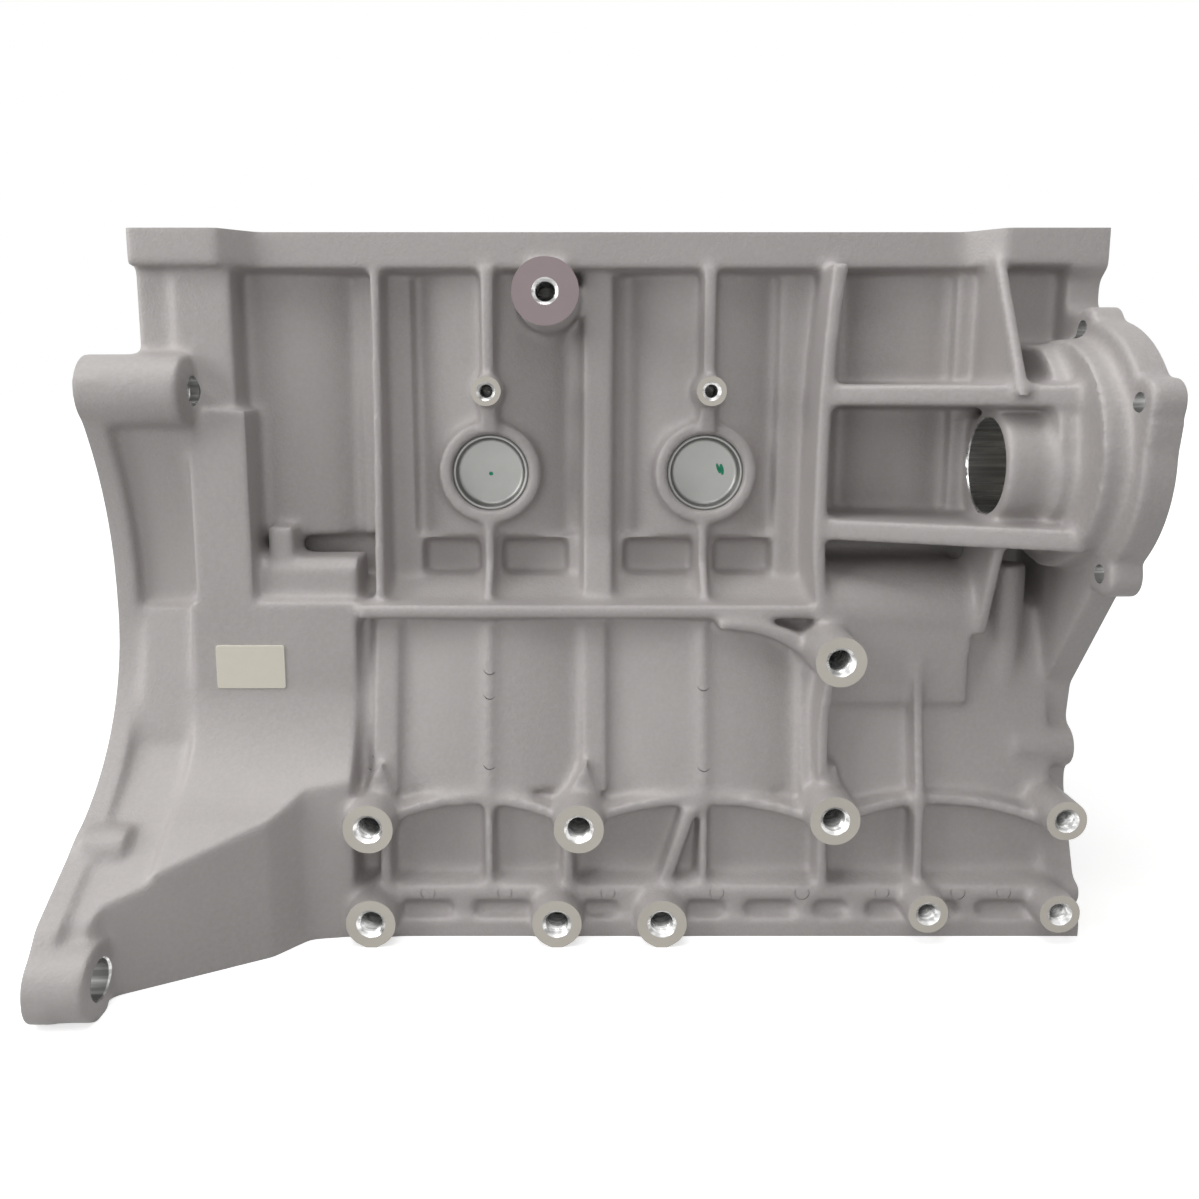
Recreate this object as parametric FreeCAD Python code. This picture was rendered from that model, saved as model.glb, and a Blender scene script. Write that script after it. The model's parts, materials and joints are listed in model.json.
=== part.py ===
import FreeCAD, Part
import os

# Bare four-cylinder engine block: an aluminium casting with cast-in liners and bolted bearing caps.
# Millimetres. Origin on the crankshaft axis at the middle main bearing.
# +X runs to the timing end, +Y to the manifold side, +Z up to the deck. The near side is -Y.

V = FreeCAD.Vector
X_AXIS = V(1, 0, 0)
Y_AXIS = V(0, 1, 0)

# ---- cylinders and head face -------------------------------------------------------------------------
bore_pitch = 84.0
bore_radius = 37.5
liner_wall = 2.5
liner_length = 130.0
deck_height = 208.5          # crankshaft axis to head face
deck_thickness = 13.5
deck_edge_y = 66.0           # deck edge over the open side pockets
deck_corner_y = 76.5         # deck edge at the two ends
far_edge_y = 62.0
far_corner_y = 70.0
deck_rear_x = -172.0
rear_corner_x = -139.0       # where the rear deck corner ends
front_corner_x = 148.0
corner_slope = 12.0
head_bolt_y = 44.0
head_bolt_radius = 5.2
head_bolt_depth = 60.0

# ---- cylinder case and crankcase ------------------------------------------------------------------------
rail_drop = 58.0             # crankshaft axis to sump face
rear_face_x = -188.0
front_face_x = 185.0
case_rear_x = -162.0
case_front_x = 162.0
case_bottom = 93.0           # outer step under the water jacket
bulge_y = 58.0               # crown of each cylinder bulge
bulge_edge_y = 49.5
bulge_half_width = 31.0
bolt_column_y = 52.5         # flat over each head-bolt column
bolt_column_half = 9.0
neck_y = 47.0
skirt_top = 76.0
shoulder_z = 66.0            # where the crankcase wall starts to slope out
shoulder_y = 66.0
skirt_y = 80.0               # crankcase wall at the rail
ledge_z = -3.0
skirt_rear_x = -178.0
skirt_front_x = 176.0
crank_bulge_rise = 4.5
crank_bulge_half = 33.0

# ---- bearings ---------------------------------------------------------------------------------------------
main_radius = 28.0
bulkhead_thickness = 21.0
web_thickness = 12.0         # bulkhead above the bearing
web_bottom = 36.0
bay_top = 80.0
bay_y = 57.0                 # inside of the crankcase wall at the shoulder
bay_rail_y = 73.0            # and at the rail
cap_half_width = 44.0
cap_height = 44.0
cap_shoulder = 22.0
cap_crown = 27.0
cap_thickness = 20.0
cap_bolt_y = 36.0
cap_head_radius = 8.0
cap_head_height = 9.0
cap_washer_height = 2.0

# ---- pan rail ----------------------------------------------------------------------------------------------
rail_edge_y = 91.5
bead_y = 90.0
bead_top = -39.0
bead_bottom = -44.7
groove_y = 86.0
flange_top = -50.9
rail_rear_x = -110.0
rail_rib_width = 7.0
rail_rib_places = (-51.9, 11.6, 53.0, 80.0, 100.1, 142.7)

# ---- machined bosses of the near side --------------------------------------------------------------------
boss_y = 99.5                # machined faces
boss_root_y = 64.0
root_rise = 21.0             # tent over each upper boss
root_y = 86.0
large_radius = 9.5
large_hole = 4.3
large_depth = 26.0
small_radius = 7.7
small_hole = 3.4
small_depth = 22.0
upper_row_z = -10.9
lower_row_z = -48.5
rear_row_x = -85.8
middle_boss_x = -7.4
front_row_x = 87.6
front_row_z = -7.6
pivot_boss_z = 53.0          # boss above the crankcase shoulder
lower_boss_places = (-15.7, 23.9)
corner_x = 173.5
corner_upper_z = -7.6
corner_lower_z = -44.5
corner_inner_x = 124.0
bracket_x = -19.0            # large boss under the deck
bracket_drop = 11.0          # boss centre below the deck's underside
bracket_radius = 11.8
bracket_hole = 3.5
shelf_y = 78.0
shelf_top = 69.3
shelf_bottom = 63.8
shelf_rear_x = -91.5
shelf_front_x = 83.5
ledge_thickness = 4.6
ledge_y = 86.0
ledge_end_y = 92.0
ledge_rise = 5.4

# ---- core plugs and sender bosses --------------------------------------------------------------------------
plug_x = 42.0
plug_z = 118.5
plug_radius = 15.0
plug_ring_radius = 20.0
plug_ring_y = 62.0
plug_depth = 6.0
plug_sheet = 1.6
plug_recess = 2.2            # rim of the plug below the ring face
sender_z = 150.0
sender_radius = 5.8
sender_y = 75.5
sender_hole = 2.5
sender_depth = 14.0

# ---- timing end ------------------------------------------------------------------------------------------------
pump_y = -81.0
pump_z = 127.0
pump_radius = 48.5
pump_flange = 11.0
pump_cavity_radius = 36.0
pump_drum_radius = 41.5      # wall round the cavity behind the flange
pump_drum_x = 165.0
pump_cavity_depth = 14.0
pump_ear_radius = 8.0
pump_hole = 3.3
pump_ears = ((-83.0, 172.0), (-124.0, 146.5), (-107.5, 87.0))
inlet_y = -83.0
inlet_z = 123.0
inlet_radius = 17.5
inlet_wall = 3.5
inlet_depth = 25.0
inlet_mouth_x = 142.0
collar_radius = 24.0
collar_x = 159.0
brace_x = 146.0
brace_thickness = 4.6
upper_brace_z = 148.5        # rib over the inlet
lower_brace_z = 98.6
brace_rib = 8.0
front_wall = 12.0
seal_radius = 40.0
seal_depth = 9.0

# ---- gearbox end ----------------------------------------------------------------------------------------------
bell_flange = 8.5
bell_step = 5.0              # recess behind the flange rim
bell_top = 160.0
end_wall_x = -176.0          # end of the case above the flange
upper_ear_y = -76.5
far_ear_y = 84.0
upper_ear_z = 150.0
upper_ear_radius = 13.5
upper_ear_length = 37.0
upper_ear_hole = 5.6
lower_ear_y = -140.0
far_foot_y = 112.0
lower_ear_z = -45.5
lower_ear_radius = 13.0
lower_ear_length = 20.0
lower_ear_hole = 6.7
foot_wall = 7.0
pad_y = 75.0                 # flat pad at the gearbox end
pad_top = 70.0
pad_bottom = 35.0
label_x = -147.5
label_z = 36.0
label_width = 26.5
label_height = 17.0
label_sheet = 0.6

# ---- manifold side -----------------------------------------------------------------------------------------------
filter_x = 118.0
filter_z = 6.0
filter_radius = 33.0
filter_face_y = 97.0
filter_port = 9.5

liner_radius = bore_radius + liner_wall
deck_underside = deck_height - deck_thickness
bracket_z = deck_underside - bracket_drop
liner_foot = deck_height - liner_length


# ---- geometry helpers -----------------------------------------------------------------------------------------------
def face(corners):
    """Face inside a closed outline; an entry (point, corner) is an arc through the point."""
    last = corners[-1]
    start = last[1] if isinstance(last, tuple) else last
    edges = []
    for entry in corners:
        if isinstance(entry, tuple):
            edges.append(Part.Arc(start, entry[0], entry[1]).toShape())
            start = entry[1]
        else:
            edges.append(Part.makeLine(start, entry))
            start = entry
    return Part.Face(Part.Wire(edges))


def placed(outline, place):
    """Outline of number pairs, arcs given as pairs of pairs, set into space by place."""
    corners = []
    for entry in outline:
        if isinstance(entry[0], tuple):
            corners.append((place(*entry[0]), place(*entry[1])))
        else:
            corners.append(place(*entry))
    return corners


def prism_x(x0, x1, outline):
    """Outline in (y, z) swept from x0 to x1."""
    return face(placed(outline, lambda y, z: V(x0, y, z))).extrude(V(x1 - x0, 0, 0))


def prism_y(y0, y1, outline):
    """Outline in (x, z) swept from y0 to y1."""
    return face(placed(outline, lambda x, z: V(x, y0, z))).extrude(V(0, y1 - y0, 0))


def prism_z(z0, z1, outline):
    """Outline in (x, y) swept from z0 to z1."""
    return face(placed(outline, lambda x, y: V(x, y, z0))).extrude(V(0, 0, z1 - z0))


def box(x0, x1, y0, y1, z0, z1):
    return Part.makeBox(x1 - x0, y1 - y0, z1 - z0, V(x0, y0, z0))


def rod_x(y, z, radius, x0, x1):
    return Part.makeCylinder(radius, x1 - x0, V(x0, y, z), X_AXIS)


def rod_y(x, z, radius, y0, y1):
    return Part.makeCylinder(radius, y1 - y0, V(x, y0, z), Y_AXIS)


def rod_z(x, y, radius, z0, z1):
    return Part.makeCylinder(radius, z1 - z0, V(x, y, z0))


def upright(x, width, outline):
    """Plate rib standing across the wall: outline in (y, z) about the middle of its width."""
    return prism_x(x - width / 2.0, x + width / 2.0, outline)


def mirrored(outline):
    """The same (y, z) outline on the manifold side."""
    return [(-y, z) for y, z in outline]


def cylinder_centres():
    return [(index - 1.5) * bore_pitch for index in range(4)]


def main_centres():
    return [(index - 2.0) * bore_pitch for index in range(5)]


def large_bosses():
    """(x, z) of the large screw bosses on the near side."""
    upper = [(rear_row_x, upper_row_z), (middle_boss_x, upper_row_z), (front_row_x, front_row_z)]
    lower = [(x, lower_row_z) for x in (rear_row_x,) + lower_boss_places]
    return upper + lower + [(front_row_x, pivot_boss_z)]


def small_bosses():
    return [(corner_x, corner_upper_z), (corner_inner_x, corner_lower_z), (corner_x, corner_lower_z)]


# ---- casting: main masses --------------------------------------------------------------------------------------------
def deck():
    """Closed deck with wider corners at both ends."""
    outline = [
        (deck_rear_x, -deck_corner_y),
        (rear_corner_x, -deck_corner_y),
        (rear_corner_x + corner_slope, -deck_edge_y),
        (front_corner_x - corner_slope, -deck_edge_y),
        (front_corner_x, -deck_corner_y),
        (front_face_x, -deck_corner_y),
        (front_face_x, far_corner_y),
        (front_corner_x, far_corner_y),
        (front_corner_x - corner_slope, far_edge_y),
        (rear_corner_x + corner_slope, far_edge_y),
        (rear_corner_x, far_corner_y),
        (deck_rear_x, far_corner_y),
    ]
    return prism_z(deck_underside, deck_height, outline)


def cylinder_case():
    """Water-jacket walls, bulging round each cylinder on both sides."""
    near = [(case_rear_x, -bolt_column_y)]
    for centre in cylinder_centres():
        near.append((centre - bore_pitch / 2.0 + bolt_column_half, -bolt_column_y))
        near.append((centre - bulge_half_width, -bulge_edge_y))
        near.append(((centre, -bulge_y), (centre + bulge_half_width, -bulge_edge_y)))
        near.append((centre + bore_pitch / 2.0 - bolt_column_half, -bolt_column_y))
    near.append((case_front_x, -bolt_column_y))
    far = [(case_front_x, bolt_column_y)]
    for centre in reversed(cylinder_centres()):
        far.append((centre + bore_pitch / 2.0 - bolt_column_half, bolt_column_y))
        far.append((centre + bulge_half_width, bulge_edge_y))
        far.append(((centre, bulge_y), (centre - bulge_half_width, bulge_edge_y)))
        far.append((centre - bore_pitch / 2.0 + bolt_column_half, bolt_column_y))
    far.append((case_rear_x, bolt_column_y))
    return prism_z(case_bottom, deck_underside, near + far)


def crankcase():
    """Neck under the jacket and the walls sloping out to the pan rail."""
    side = [(-neck_y, case_bottom), (-neck_y, skirt_top), (-shoulder_y, shoulder_z), (-skirt_y, ledge_z)]
    side += [(-skirt_y, -rail_drop)]
    return prism_x(skirt_rear_x, skirt_front_x, side + mirrored(side)[::-1])


def bays():
    """Open crankcase bays, wider between the thin webs above the bearings."""
    side = [(-neck_y + 8.0, bay_top), (-bay_y, shoulder_z - 6.0), (-bay_rail_y, ledge_z)]
    side += [(-bay_rail_y, -rail_drop - 1.0)]
    upper = [(-neck_y + 8.0, bay_top), (-bay_y, shoulder_z - 6.0), (-bay_y - 4.0, web_bottom)]
    cutters = []
    for rear, front in zip(main_centres()[:-1], main_centres()[1:]):
        for half, outline in ((bulkhead_thickness / 2.0, side), (web_thickness / 2.0, upper)):
            cutters.append(prism_x(rear + half, front - half, outline + mirrored(outline)[::-1]))
    return cutters


def pan_rail():
    """Rail with an upper bead, a lower flange and a row of cast windows between them, near side."""
    outline = [(-skirt_y + 2.0, bead_top + 4.0), (-bead_y, bead_top), (-bead_y, bead_bottom)]
    outline += [(-groove_y, bead_bottom), (-groove_y, flange_top), (-rail_edge_y, flange_top)]
    outline += [(-rail_edge_y, -rail_drop), (-bay_rail_y, -rail_drop), (-bay_rail_y, bead_top)]
    solids = [prism_x(rail_rear_x, front_face_x, outline)]
    half = rail_rib_width / 2.0
    for x in rail_rib_places:
        solids.append(box(x - half, x + half, -bead_y, -skirt_y, flange_top - 1.0, bead_bottom + 1.0))
    far = [(skirt_y - 2.0, bead_top), (rail_edge_y, flange_top), (rail_edge_y, -rail_drop)]
    far += [(bay_rail_y, -rail_drop), (bay_rail_y, bead_top)]
    solids.append(prism_x(skirt_rear_x, front_face_x, far))
    return solids


def end_walls():
    """Thick walls that carry the timing face and the gearbox end bearing."""
    near = [(-deck_corner_y, deck_underside), (-71.0, deck_underside - 5.0), (-70.0, 24.0), (-72.0, -5.0)]
    near += [(-83.0, -33.0), (-rail_edge_y, -rail_drop)]
    far = [(rail_edge_y, -rail_drop), (72.0, -5.0), (far_corner_y, 24.0), (far_corner_y, deck_underside)]
    low = [(-60.0, bell_top), (-60.0, -rail_drop), (60.0, -rail_drop), (60.0, bell_top)]
    high = [(-60.0, deck_underside), (-60.0, bell_top - 4.0), (60.0, bell_top - 4.0), (60.0, deck_underside)]
    return [prism_x(front_face_x - front_wall, front_face_x, near + far),
            prism_x(rear_face_x + 2.0, case_rear_x, low), prism_x(end_wall_x, case_rear_x, high)]


# ---- casting: near side, upper half ------------------------------------------------------------------------------------
def case_ribs():
    """Pillars and ribs from the deck down to the shelf."""
    top = deck_underside + 1.0
    back = -neck_y + 2.0
    middle = [(back, top), (-61.5, top), (-61.5, case_bottom), (-shelf_y + 9.0, shelf_top), (back, shelf_top)]
    rear = [(back, top), (-deck_edge_y, top), (-67.5, sender_z), (-73.0, shelf_top), (back, shelf_top)]
    curved = [(front_row_x - 3.0, top)]
    curved += [((81.3, 150.0), (80.7, 108.0)), ((81.2, 82.0), (front_row_x - 1.6, pivot_boss_z))]
    curved += [(front_row_x + 3.4, pivot_boss_z), ((86.2, 84.0), (86.0, 108.0))]
    curved += [((86.8, 150.0), (front_row_x + 3.0, top))]
    solids = [upright(0.0, 12.0, middle), upright(-bore_pitch, 3.8, rear)]
    solids.append(prism_y(-79.0, back, curved))
    solids.append(box(bore_pitch - 14.0, bore_pitch - 1.0, -56.0, back, shelf_top, top))
    solids.append(box(-bore_pitch, -bore_pitch + 12.0, -55.0, back, shelf_top, top))
    return solids


def plug_bosses():
    """Rings round the core plugs, the sender bosses above them and their joining ribs."""
    solids = []
    back = -neck_y + 2.0
    for x in (-plug_x, plug_x):
        solids.append(rod_y(x, plug_z, plug_ring_radius, -plug_ring_y, back))
        solids.append(rod_y(x, sender_z, sender_radius, -sender_y, -bulge_edge_y))
        solids.append(box(x - 2.4, x + 2.4, -sender_y + 8.0, back, sender_z, deck_underside + 1.0))
        solids.append(box(x - 3.2, x + 3.2, -plug_ring_y - 2.0, back, plug_z + plug_radius, sender_z))
        lower = [(back, plug_z - 17.0), (-plug_ring_y, plug_z - 17.0), (-plug_ring_y, 84.0)]
        lower += [(-shelf_y + 4.0, shelf_top - 1.0), (back, shelf_top - 1.0)]
        solids.append(upright(x - 0.6, 3.8, lower))
    return solids


def window_wall():
    """Sill below the jacket, with a deep window either side of each centre rib."""
    outline = [(-neck_y + 5.0, case_bottom), (-55.0, case_bottom), (-55.0, 77.0), (-shelf_y + 9.0, shelf_top - 1.0)]
    outline += [(-neck_y + 5.0, shelf_top - 1.0)]
    sill = prism_x(-bore_pitch + 2.0, bore_pitch, outline)
    windows = [box(x0, x1, -60.0, -neck_y - 1.0, 77.0, case_bottom - 1.5)
               for x0, x1 in ((-69.6, -46.2), (-38.1, -11.8), (10.4, 38.6), (46.3, 69.7))]
    return sill.cut(windows[0].multiFuse(windows[1:]))


def shelf():
    """Long horizontal rib over the crankcase wall."""
    plan = [(shelf_rear_x, -shelf_y), (shelf_front_x, -shelf_y), (shelf_front_x, -neck_y), (shelf_rear_x, -neck_y)]
    return prism_z(shelf_bottom, shelf_top, plan)


# ---- casting: near side, crankcase ----------------------------------------------------------------------------------------
def crankcase_bulges():
    """Upright bulges of the crankcase wall, one per cylinder, leaning out towards the rail."""
    lean = V(0.0, shoulder_y - skirt_y, ledge_z - shoulder_z)
    solids = []
    for centre in cylinder_centres()[1:3]:
        left = V(centre - crank_bulge_half, -shoulder_y, shoulder_z)
        right = V(centre + crank_bulge_half, -shoulder_y, shoulder_z)
        crown = V(centre, -shoulder_y - crank_bulge_rise, shoulder_z)
        chord = [Part.Arc(left, crown, right).toShape(), Part.makeLine(right, left)]
        solids.append(Part.Face(Part.Wire(chord)).extrude(lean))
    return solids


def crankcase_ribs():
    """Centre ribs, pillars, struts and braces of the crankcase wall."""
    back = -bay_rail_y
    solids = []
    centre = [(-60.0, shoulder_z), (-72.5, shoulder_z), (-ledge_y, ledge_z), (-bead_y + 1.0, bead_top), (back, bead_top)]
    for x in (-plug_x, plug_x - 1.5):
        solids.append(upright(x, 3.6, centre))
    short = [(-60.0, 50.0), (-77.0, 50.0), (-ledge_y - 2.0, ledge_z), (-bead_y, bead_top), (back, bead_top)]
    solids.append(upright(1.5 * bore_pitch - 3.0, 4.0, short))
    pillar = [(-60.0, shelf_bottom), (-69.0, shelf_bottom), (-84.0, ledge_z), (back, ledge_z)]
    for x in (-bore_pitch + 2.0, -1.5, bore_pitch - 1.0):
        solids.append(upright(x, 10.0, pillar))
    strut = [(back, ledge_z - 4.0), (-ledge_y - 2.0, ledge_z - 4.0), (-bead_y, bead_bottom), (back, bead_bottom)]
    for x in (rear_row_x + 4.3, middle_boss_x - 4.1, front_row_x - 1.6):
        solids.append(upright(x, 4.4, strut))
    solids.append(prism_y(-88.5, back, [(33.0, -8.0), (38.0, -8.0), (26.5, -44.0), (21.0, -44.0)]))
    hook = [(86.0, 46.0), ((82.5, 20.0), (85.0, -4.0)), (89.5, -4.0), ((87.0, 20.0), (90.5, 46.0))]
    solids.append(prism_y(-88.0, -68.0, hook))
    wing = [(46.0, 59.5), ((66.0, 56.5), (80.0, 48.0)), (84.0, 54.0), ((68.0, 61.5), (46.0, 63.0))]
    solids.append(prism_y(-80.0, -62.0, wing))
    return solids


def arched_ledges():
    """Ledge ribs that arch from boss to boss above the lower panels."""
    solids = []
    for x0, x1 in ((rear_row_x + 6.0, middle_boss_x - 6.0), (middle_boss_x + 6.0, front_row_x - 6.0),
                   (front_row_x + 6.0, corner_x - 6.0)):
        middle = (x0 + x1) / 2.0
        end = ledge_z - ledge_rise
        arch = [(x0, end), ((middle, ledge_z), (x1, end)), (x1, end - ledge_thickness)]
        arch.append(((middle, ledge_z - ledge_thickness), (x0, end - ledge_thickness)))
        plan = [(x0, -ledge_end_y), ((middle, -ledge_y), (x1, -ledge_end_y)), (x1, -bay_rail_y), (x0, -bay_rail_y)]
        solids.append(prism_y(-boss_y, -bay_rail_y, arch).common(prism_z(end - 20.0, ledge_z + 5.0, plan)))
    return solids


def near_bosses():
    """Round bosses reaching out to the machined faces."""
    solids = []
    for radius, places in ((large_radius, large_bosses()), (small_radius, small_bosses()),
                           (bracket_radius, [(bracket_x, bracket_z)])):
        solids += [rod_y(x, z, radius, -boss_y, -boss_root_y) for x, z in places]
    for x in (rear_row_x, middle_boss_x, front_row_x):
        root = [(x - large_radius, upper_row_z), (x + large_radius, upper_row_z), (x + 3.0, upper_row_z + root_rise)]
        solids.append(prism_y(-root_y, -bay_rail_y, root))
    solids.append(box(bracket_x - 7.0, bracket_x + 7.0, -74.0, -neck_y, bracket_z, deck_underside + 2.0))
    solids.append(rod_y(bracket_x, bracket_z, bracket_radius, -boss_root_y, -neck_y))
    return solids


# ---- casting: timing end -------------------------------------------------------------------------------------------------
def pump_mount():
    """Round pump flange with ears, the volute wall behind it and the coolant inlet neck."""
    back = front_face_x - pump_flange
    solids = [rod_x(pump_y, pump_z, pump_radius, back, front_face_x)]
    solids += [rod_x(y, z, pump_ear_radius, back, front_face_x) for y, z in pump_ears]
    solids.append(rod_x(pump_y, pump_z, pump_drum_radius, pump_drum_x, back))
    web = [(-70.0, 181.0), (-110.0, 166.0), (-131.0, 140.0), (-127.0, 115.0), (-98.0, 75.0), (-71.5, 37.0)]
    web += [(-70.0, 24.0)]
    solids.append(prism_x(back, front_face_x, web))
    volute = [(-52.0, 168.0), (-84.0, 166.0), ((-106.0, 128.0), (-84.0, 92.0)), (-52.0, 90.0)]
    solids.append(prism_x(collar_x - 1.0, back, volute))
    solids.append(rod_x(inlet_y, inlet_z, inlet_radius + inlet_wall, inlet_mouth_x, back))
    solids.append(rod_x(inlet_y, inlet_z, collar_radius, collar_x, back))
    solids.append(box(inlet_mouth_x + 1.0, front_face_x - front_wall, inlet_y, -neck_y, inlet_z - inlet_radius,
                      inlet_z + inlet_radius))
    return solids


def inlet_braces():
    """Plates and ribs that brace the coolant inlet against the deck and the case."""
    half = brace_thickness / 2.0
    upper = [(-deck_corner_y, deck_height - 10.0), (-104.0, upper_brace_z), (-neck_y, upper_brace_z)]
    upper.append((-neck_y, deck_height - 10.0))
    lower = [(-95.0, inlet_z - 15.0), (-93.0, lower_brace_z - 2.0), (-79.0, 58.0), (-60.0, 58.0)]
    lower.append((-60.0, inlet_z - 15.0))
    solids = [prism_x(brace_x - half, brace_x + half, outline) for outline in (upper, lower)]
    for z, end_x in ((upper_brace_z, 174.0), (lower_brace_z, 168.0)):
        plan = [(bore_pitch + 2.0, -79.0), (end_x, -110.0), (front_face_x - 9.0, -neck_y)]
        plan.append((bore_pitch + 2.0, -neck_y))
        solids.append(prism_z(z - brace_rib / 2.0, z + brace_rib / 2.0, plan))
    return solids


def front_side():
    """Near wall of cylinder four: the column by the inlet, the raised swell and the corner lug."""
    column = [(136.0, -62.5), (149.0, -62.5), (149.0, -neck_y), (134.5, -neck_y)]
    swell = [(-neck_y, 84.0), (-62.0, 84.0), ((-76.0, 76.0), (-77.5, 60.0)), (-76.0, 30.0), (-60.0, 20.0)]
    solids = [prism_z(case_bottom, deck_underside + 1.0, column), prism_x(front_row_x, 143.0, swell)]
    solids.append(rod_x(-70.0, 12.0, 8.5, 162.0, front_face_x))
    solids.append(box(162.0, 174.0, -70.0, -55.0, 3.5, 20.5))
    solids.append(rod_z(159.5, -66.0, 7.0, 20.0, 84.0))
    solids.append(box(147.0, front_face_x - front_wall + 1.0, -64.0, -neck_y, upper_brace_z, deck_underside + 1.0))
    return solids


# ---- casting: gearbox end ---------------------------------------------------------------------------------------------------
def bell_edge(step):
    """Near-side edge of the bell flange in (y, z), drawn in by step."""
    rim = [(-85.5, 158.0), (-90.0, 154.0), (-89.5, 147.0), ((-72.0, 108.0), (-67.0, 69.0))]
    rim += [((-82.0, 17.0), (-105.0, -5.0)), (-141.0, -27.0), (-152.0, -41.0), (-153.0, -48.0)]
    rim.append(((-150.2, -55.0), (-143.0, -rail_drop)))
    moved = []
    for entry in rim:
        if isinstance(entry[0], tuple):
            moved.append(tuple((y + step, z) for y, z in entry))
        else:
            moved.append((entry[0] + step, entry[1]))
    return moved


def bell_plate():
    """Rear flange: near-side sweep between its ears, and the plainer far side."""
    far = [(far_foot_y + lower_ear_radius, -rail_drop), (far_foot_y + lower_ear_radius, -38.0), (100.0, 20.0)]
    far += [(90.0, 90.0), (far_ear_y + upper_ear_radius, 146.0), (far_ear_y, bell_top), (-upper_ear_radius, bell_top)]
    outline = bell_edge(0.0) + far
    return prism_x(rear_face_x, rear_face_x + bell_flange, outline)


def bell_side():
    """Wall behind the flange: starter recess, sloping apron and flared foot."""
    inside = [(-neck_y, -rail_drop), (-neck_y, 158.0)]
    sweep = prism_x(rear_face_x + 1.0, -150.0, bell_edge(bell_step) + inside)
    apron = [(-pad_y, pad_top), (-pad_y, pad_bottom), ((-85.5, 11.0), (-106.0, -5.0)), (-129.0, -20.0)]
    apron += [(-150.0, -36.0), (-150.0, -rail_drop), (-neck_y, -rail_drop), (-neck_y, pad_top)]
    block = prism_x(-157.0, -93.0, apron)
    foot = [(rear_face_x + 1.0, -153.0), (-177.0, -153.0), (-170.0, -131.0), (-162.0, -127.0), (-121.0, -106.0)]
    foot.append((-110.0, -94.0))
    foot += [(-92.0, -rail_edge_y), (-92.0, -neck_y), (rear_face_x + 1.0, -neck_y)]
    return sweep.fuse(block).common(prism_z(-rail_drop, 200.0, foot))


def foot_pocket():
    """Hollow inside the flared foot, open to the rear face."""
    outline = [(-66.0, 30.0), (-98.0, -12.0), (-128.0, -28.0), (-128.0, -rail_drop + foot_wall)]
    outline += [(-66.0, -rail_drop + foot_wall)]
    plan = [(rear_face_x - 1.0, -140.0), (-172.0, -127.0), (-132.0, -103.0), (-132.0, -60.0), (rear_face_x - 1.0, -60.0)]
    return prism_x(rear_face_x - 1.0, -132.0, outline).common(prism_z(-rail_drop, 60.0, plan))


def bell_ears():
    """Bolt ears of the bell flange and the rounded lug between them."""
    front = rear_face_x + upper_ear_length
    solids = [rod_x(upper_ear_y, upper_ear_z, upper_ear_radius, rear_face_x, front)]
    solids.append(box(rear_face_x, front, upper_ear_y, -neck_y, upper_ear_z - upper_ear_radius,
                      upper_ear_z + upper_ear_radius))
    solids.append(rod_x(lower_ear_y, lower_ear_z, lower_ear_radius, rear_face_x, rear_face_x + lower_ear_length))
    solids.append(rod_x(-109.0, -13.5, 8.0, rear_face_x + 2.0, -168.5))
    return solids


def rear_side():
    """Columns and steps above the pad at the gearbox end."""
    top = deck_underside + 1.0
    solids = [box(-158.0, -136.0, -72.0, -neck_y, 140.0, top)]
    solids.append(box(-154.0, -132.0, -pad_y, -neck_y, pad_bottom, 143.0))
    solids.append(box(deck_rear_x, -150.0, -70.0, -neck_y, 150.0, top))
    steps = [(-50.0, 86.0), (-66.0, 86.0), (-70.0, 82.0), (-70.0, 71.0), (-pad_y, pad_top), (-pad_y, 60.0), (-50.0, 60.0)]
    solids.append(prism_x(-133.0, -93.0, steps))
    solids.append(box(-128.0, -118.0, -68.0, -50.0, 84.0, 98.0))
    return solids


# ---- casting: manifold side ---------------------------------------------------------------------------------------------------
def manifold_side():
    """Ribs and filter pad of the side away from the pump."""
    solids = []
    rib = [(neck_y, deck_underside), (far_edge_y, deck_underside), (far_edge_y, case_bottom), (78.0, shoulder_z)]
    rib += [(rail_edge_y - 4.0, bead_top), (bay_rail_y, bead_top), (neck_y, shoulder_z)]
    for x in (-bore_pitch, 0.0, bore_pitch):
        solids.append(upright(x, 5.0, rib))
    plan = [(-150.0, neck_y), (150.0, neck_y), (150.0, 76.0), (-150.0, 76.0)]
    solids.append(prism_z(shoulder_z - 3.0, shoulder_z + 3.0, plan))
    solids.append(rod_y(filter_x, filter_z, filter_radius, bay_rail_y, filter_face_y))
    return solids


# ---- casting: machining ------------------------------------------------------------------------------------------------------------
def deck_holes():
    """Liner seats and head-bolt holes opening on the head face."""
    top = deck_height + 1.0
    cutters = [rod_z(x, 0.0, liner_radius, liner_foot, top) for x in cylinder_centres()]
    for x in main_centres():
        for y in (-head_bolt_y, head_bolt_y):
            cutters.append(rod_z(x, y, head_bolt_radius, deck_height - head_bolt_depth, top))
    return cutters


def near_holes():
    """Screw holes in the machined bosses, core-plug seats and sender holes."""
    cutters = []
    for radius, depth, places in ((large_hole, large_depth, large_bosses()), (small_hole, small_depth, small_bosses()),
                                  (bracket_hole, small_depth, [(bracket_x, bracket_z)])):
        cutters += [rod_y(x, z, radius, -boss_y - 1.0, -boss_y + depth) for x, z in places]
    for x in (-plug_x, plug_x):
        cutters.append(rod_y(x, plug_z, plug_radius, -plug_ring_y - 1.0, -plug_ring_y + plug_recess + plug_depth))
        cutters.append(rod_y(x, sender_z, sender_hole, -sender_y - 1.0, -sender_y + sender_depth))
    return cutters


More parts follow.
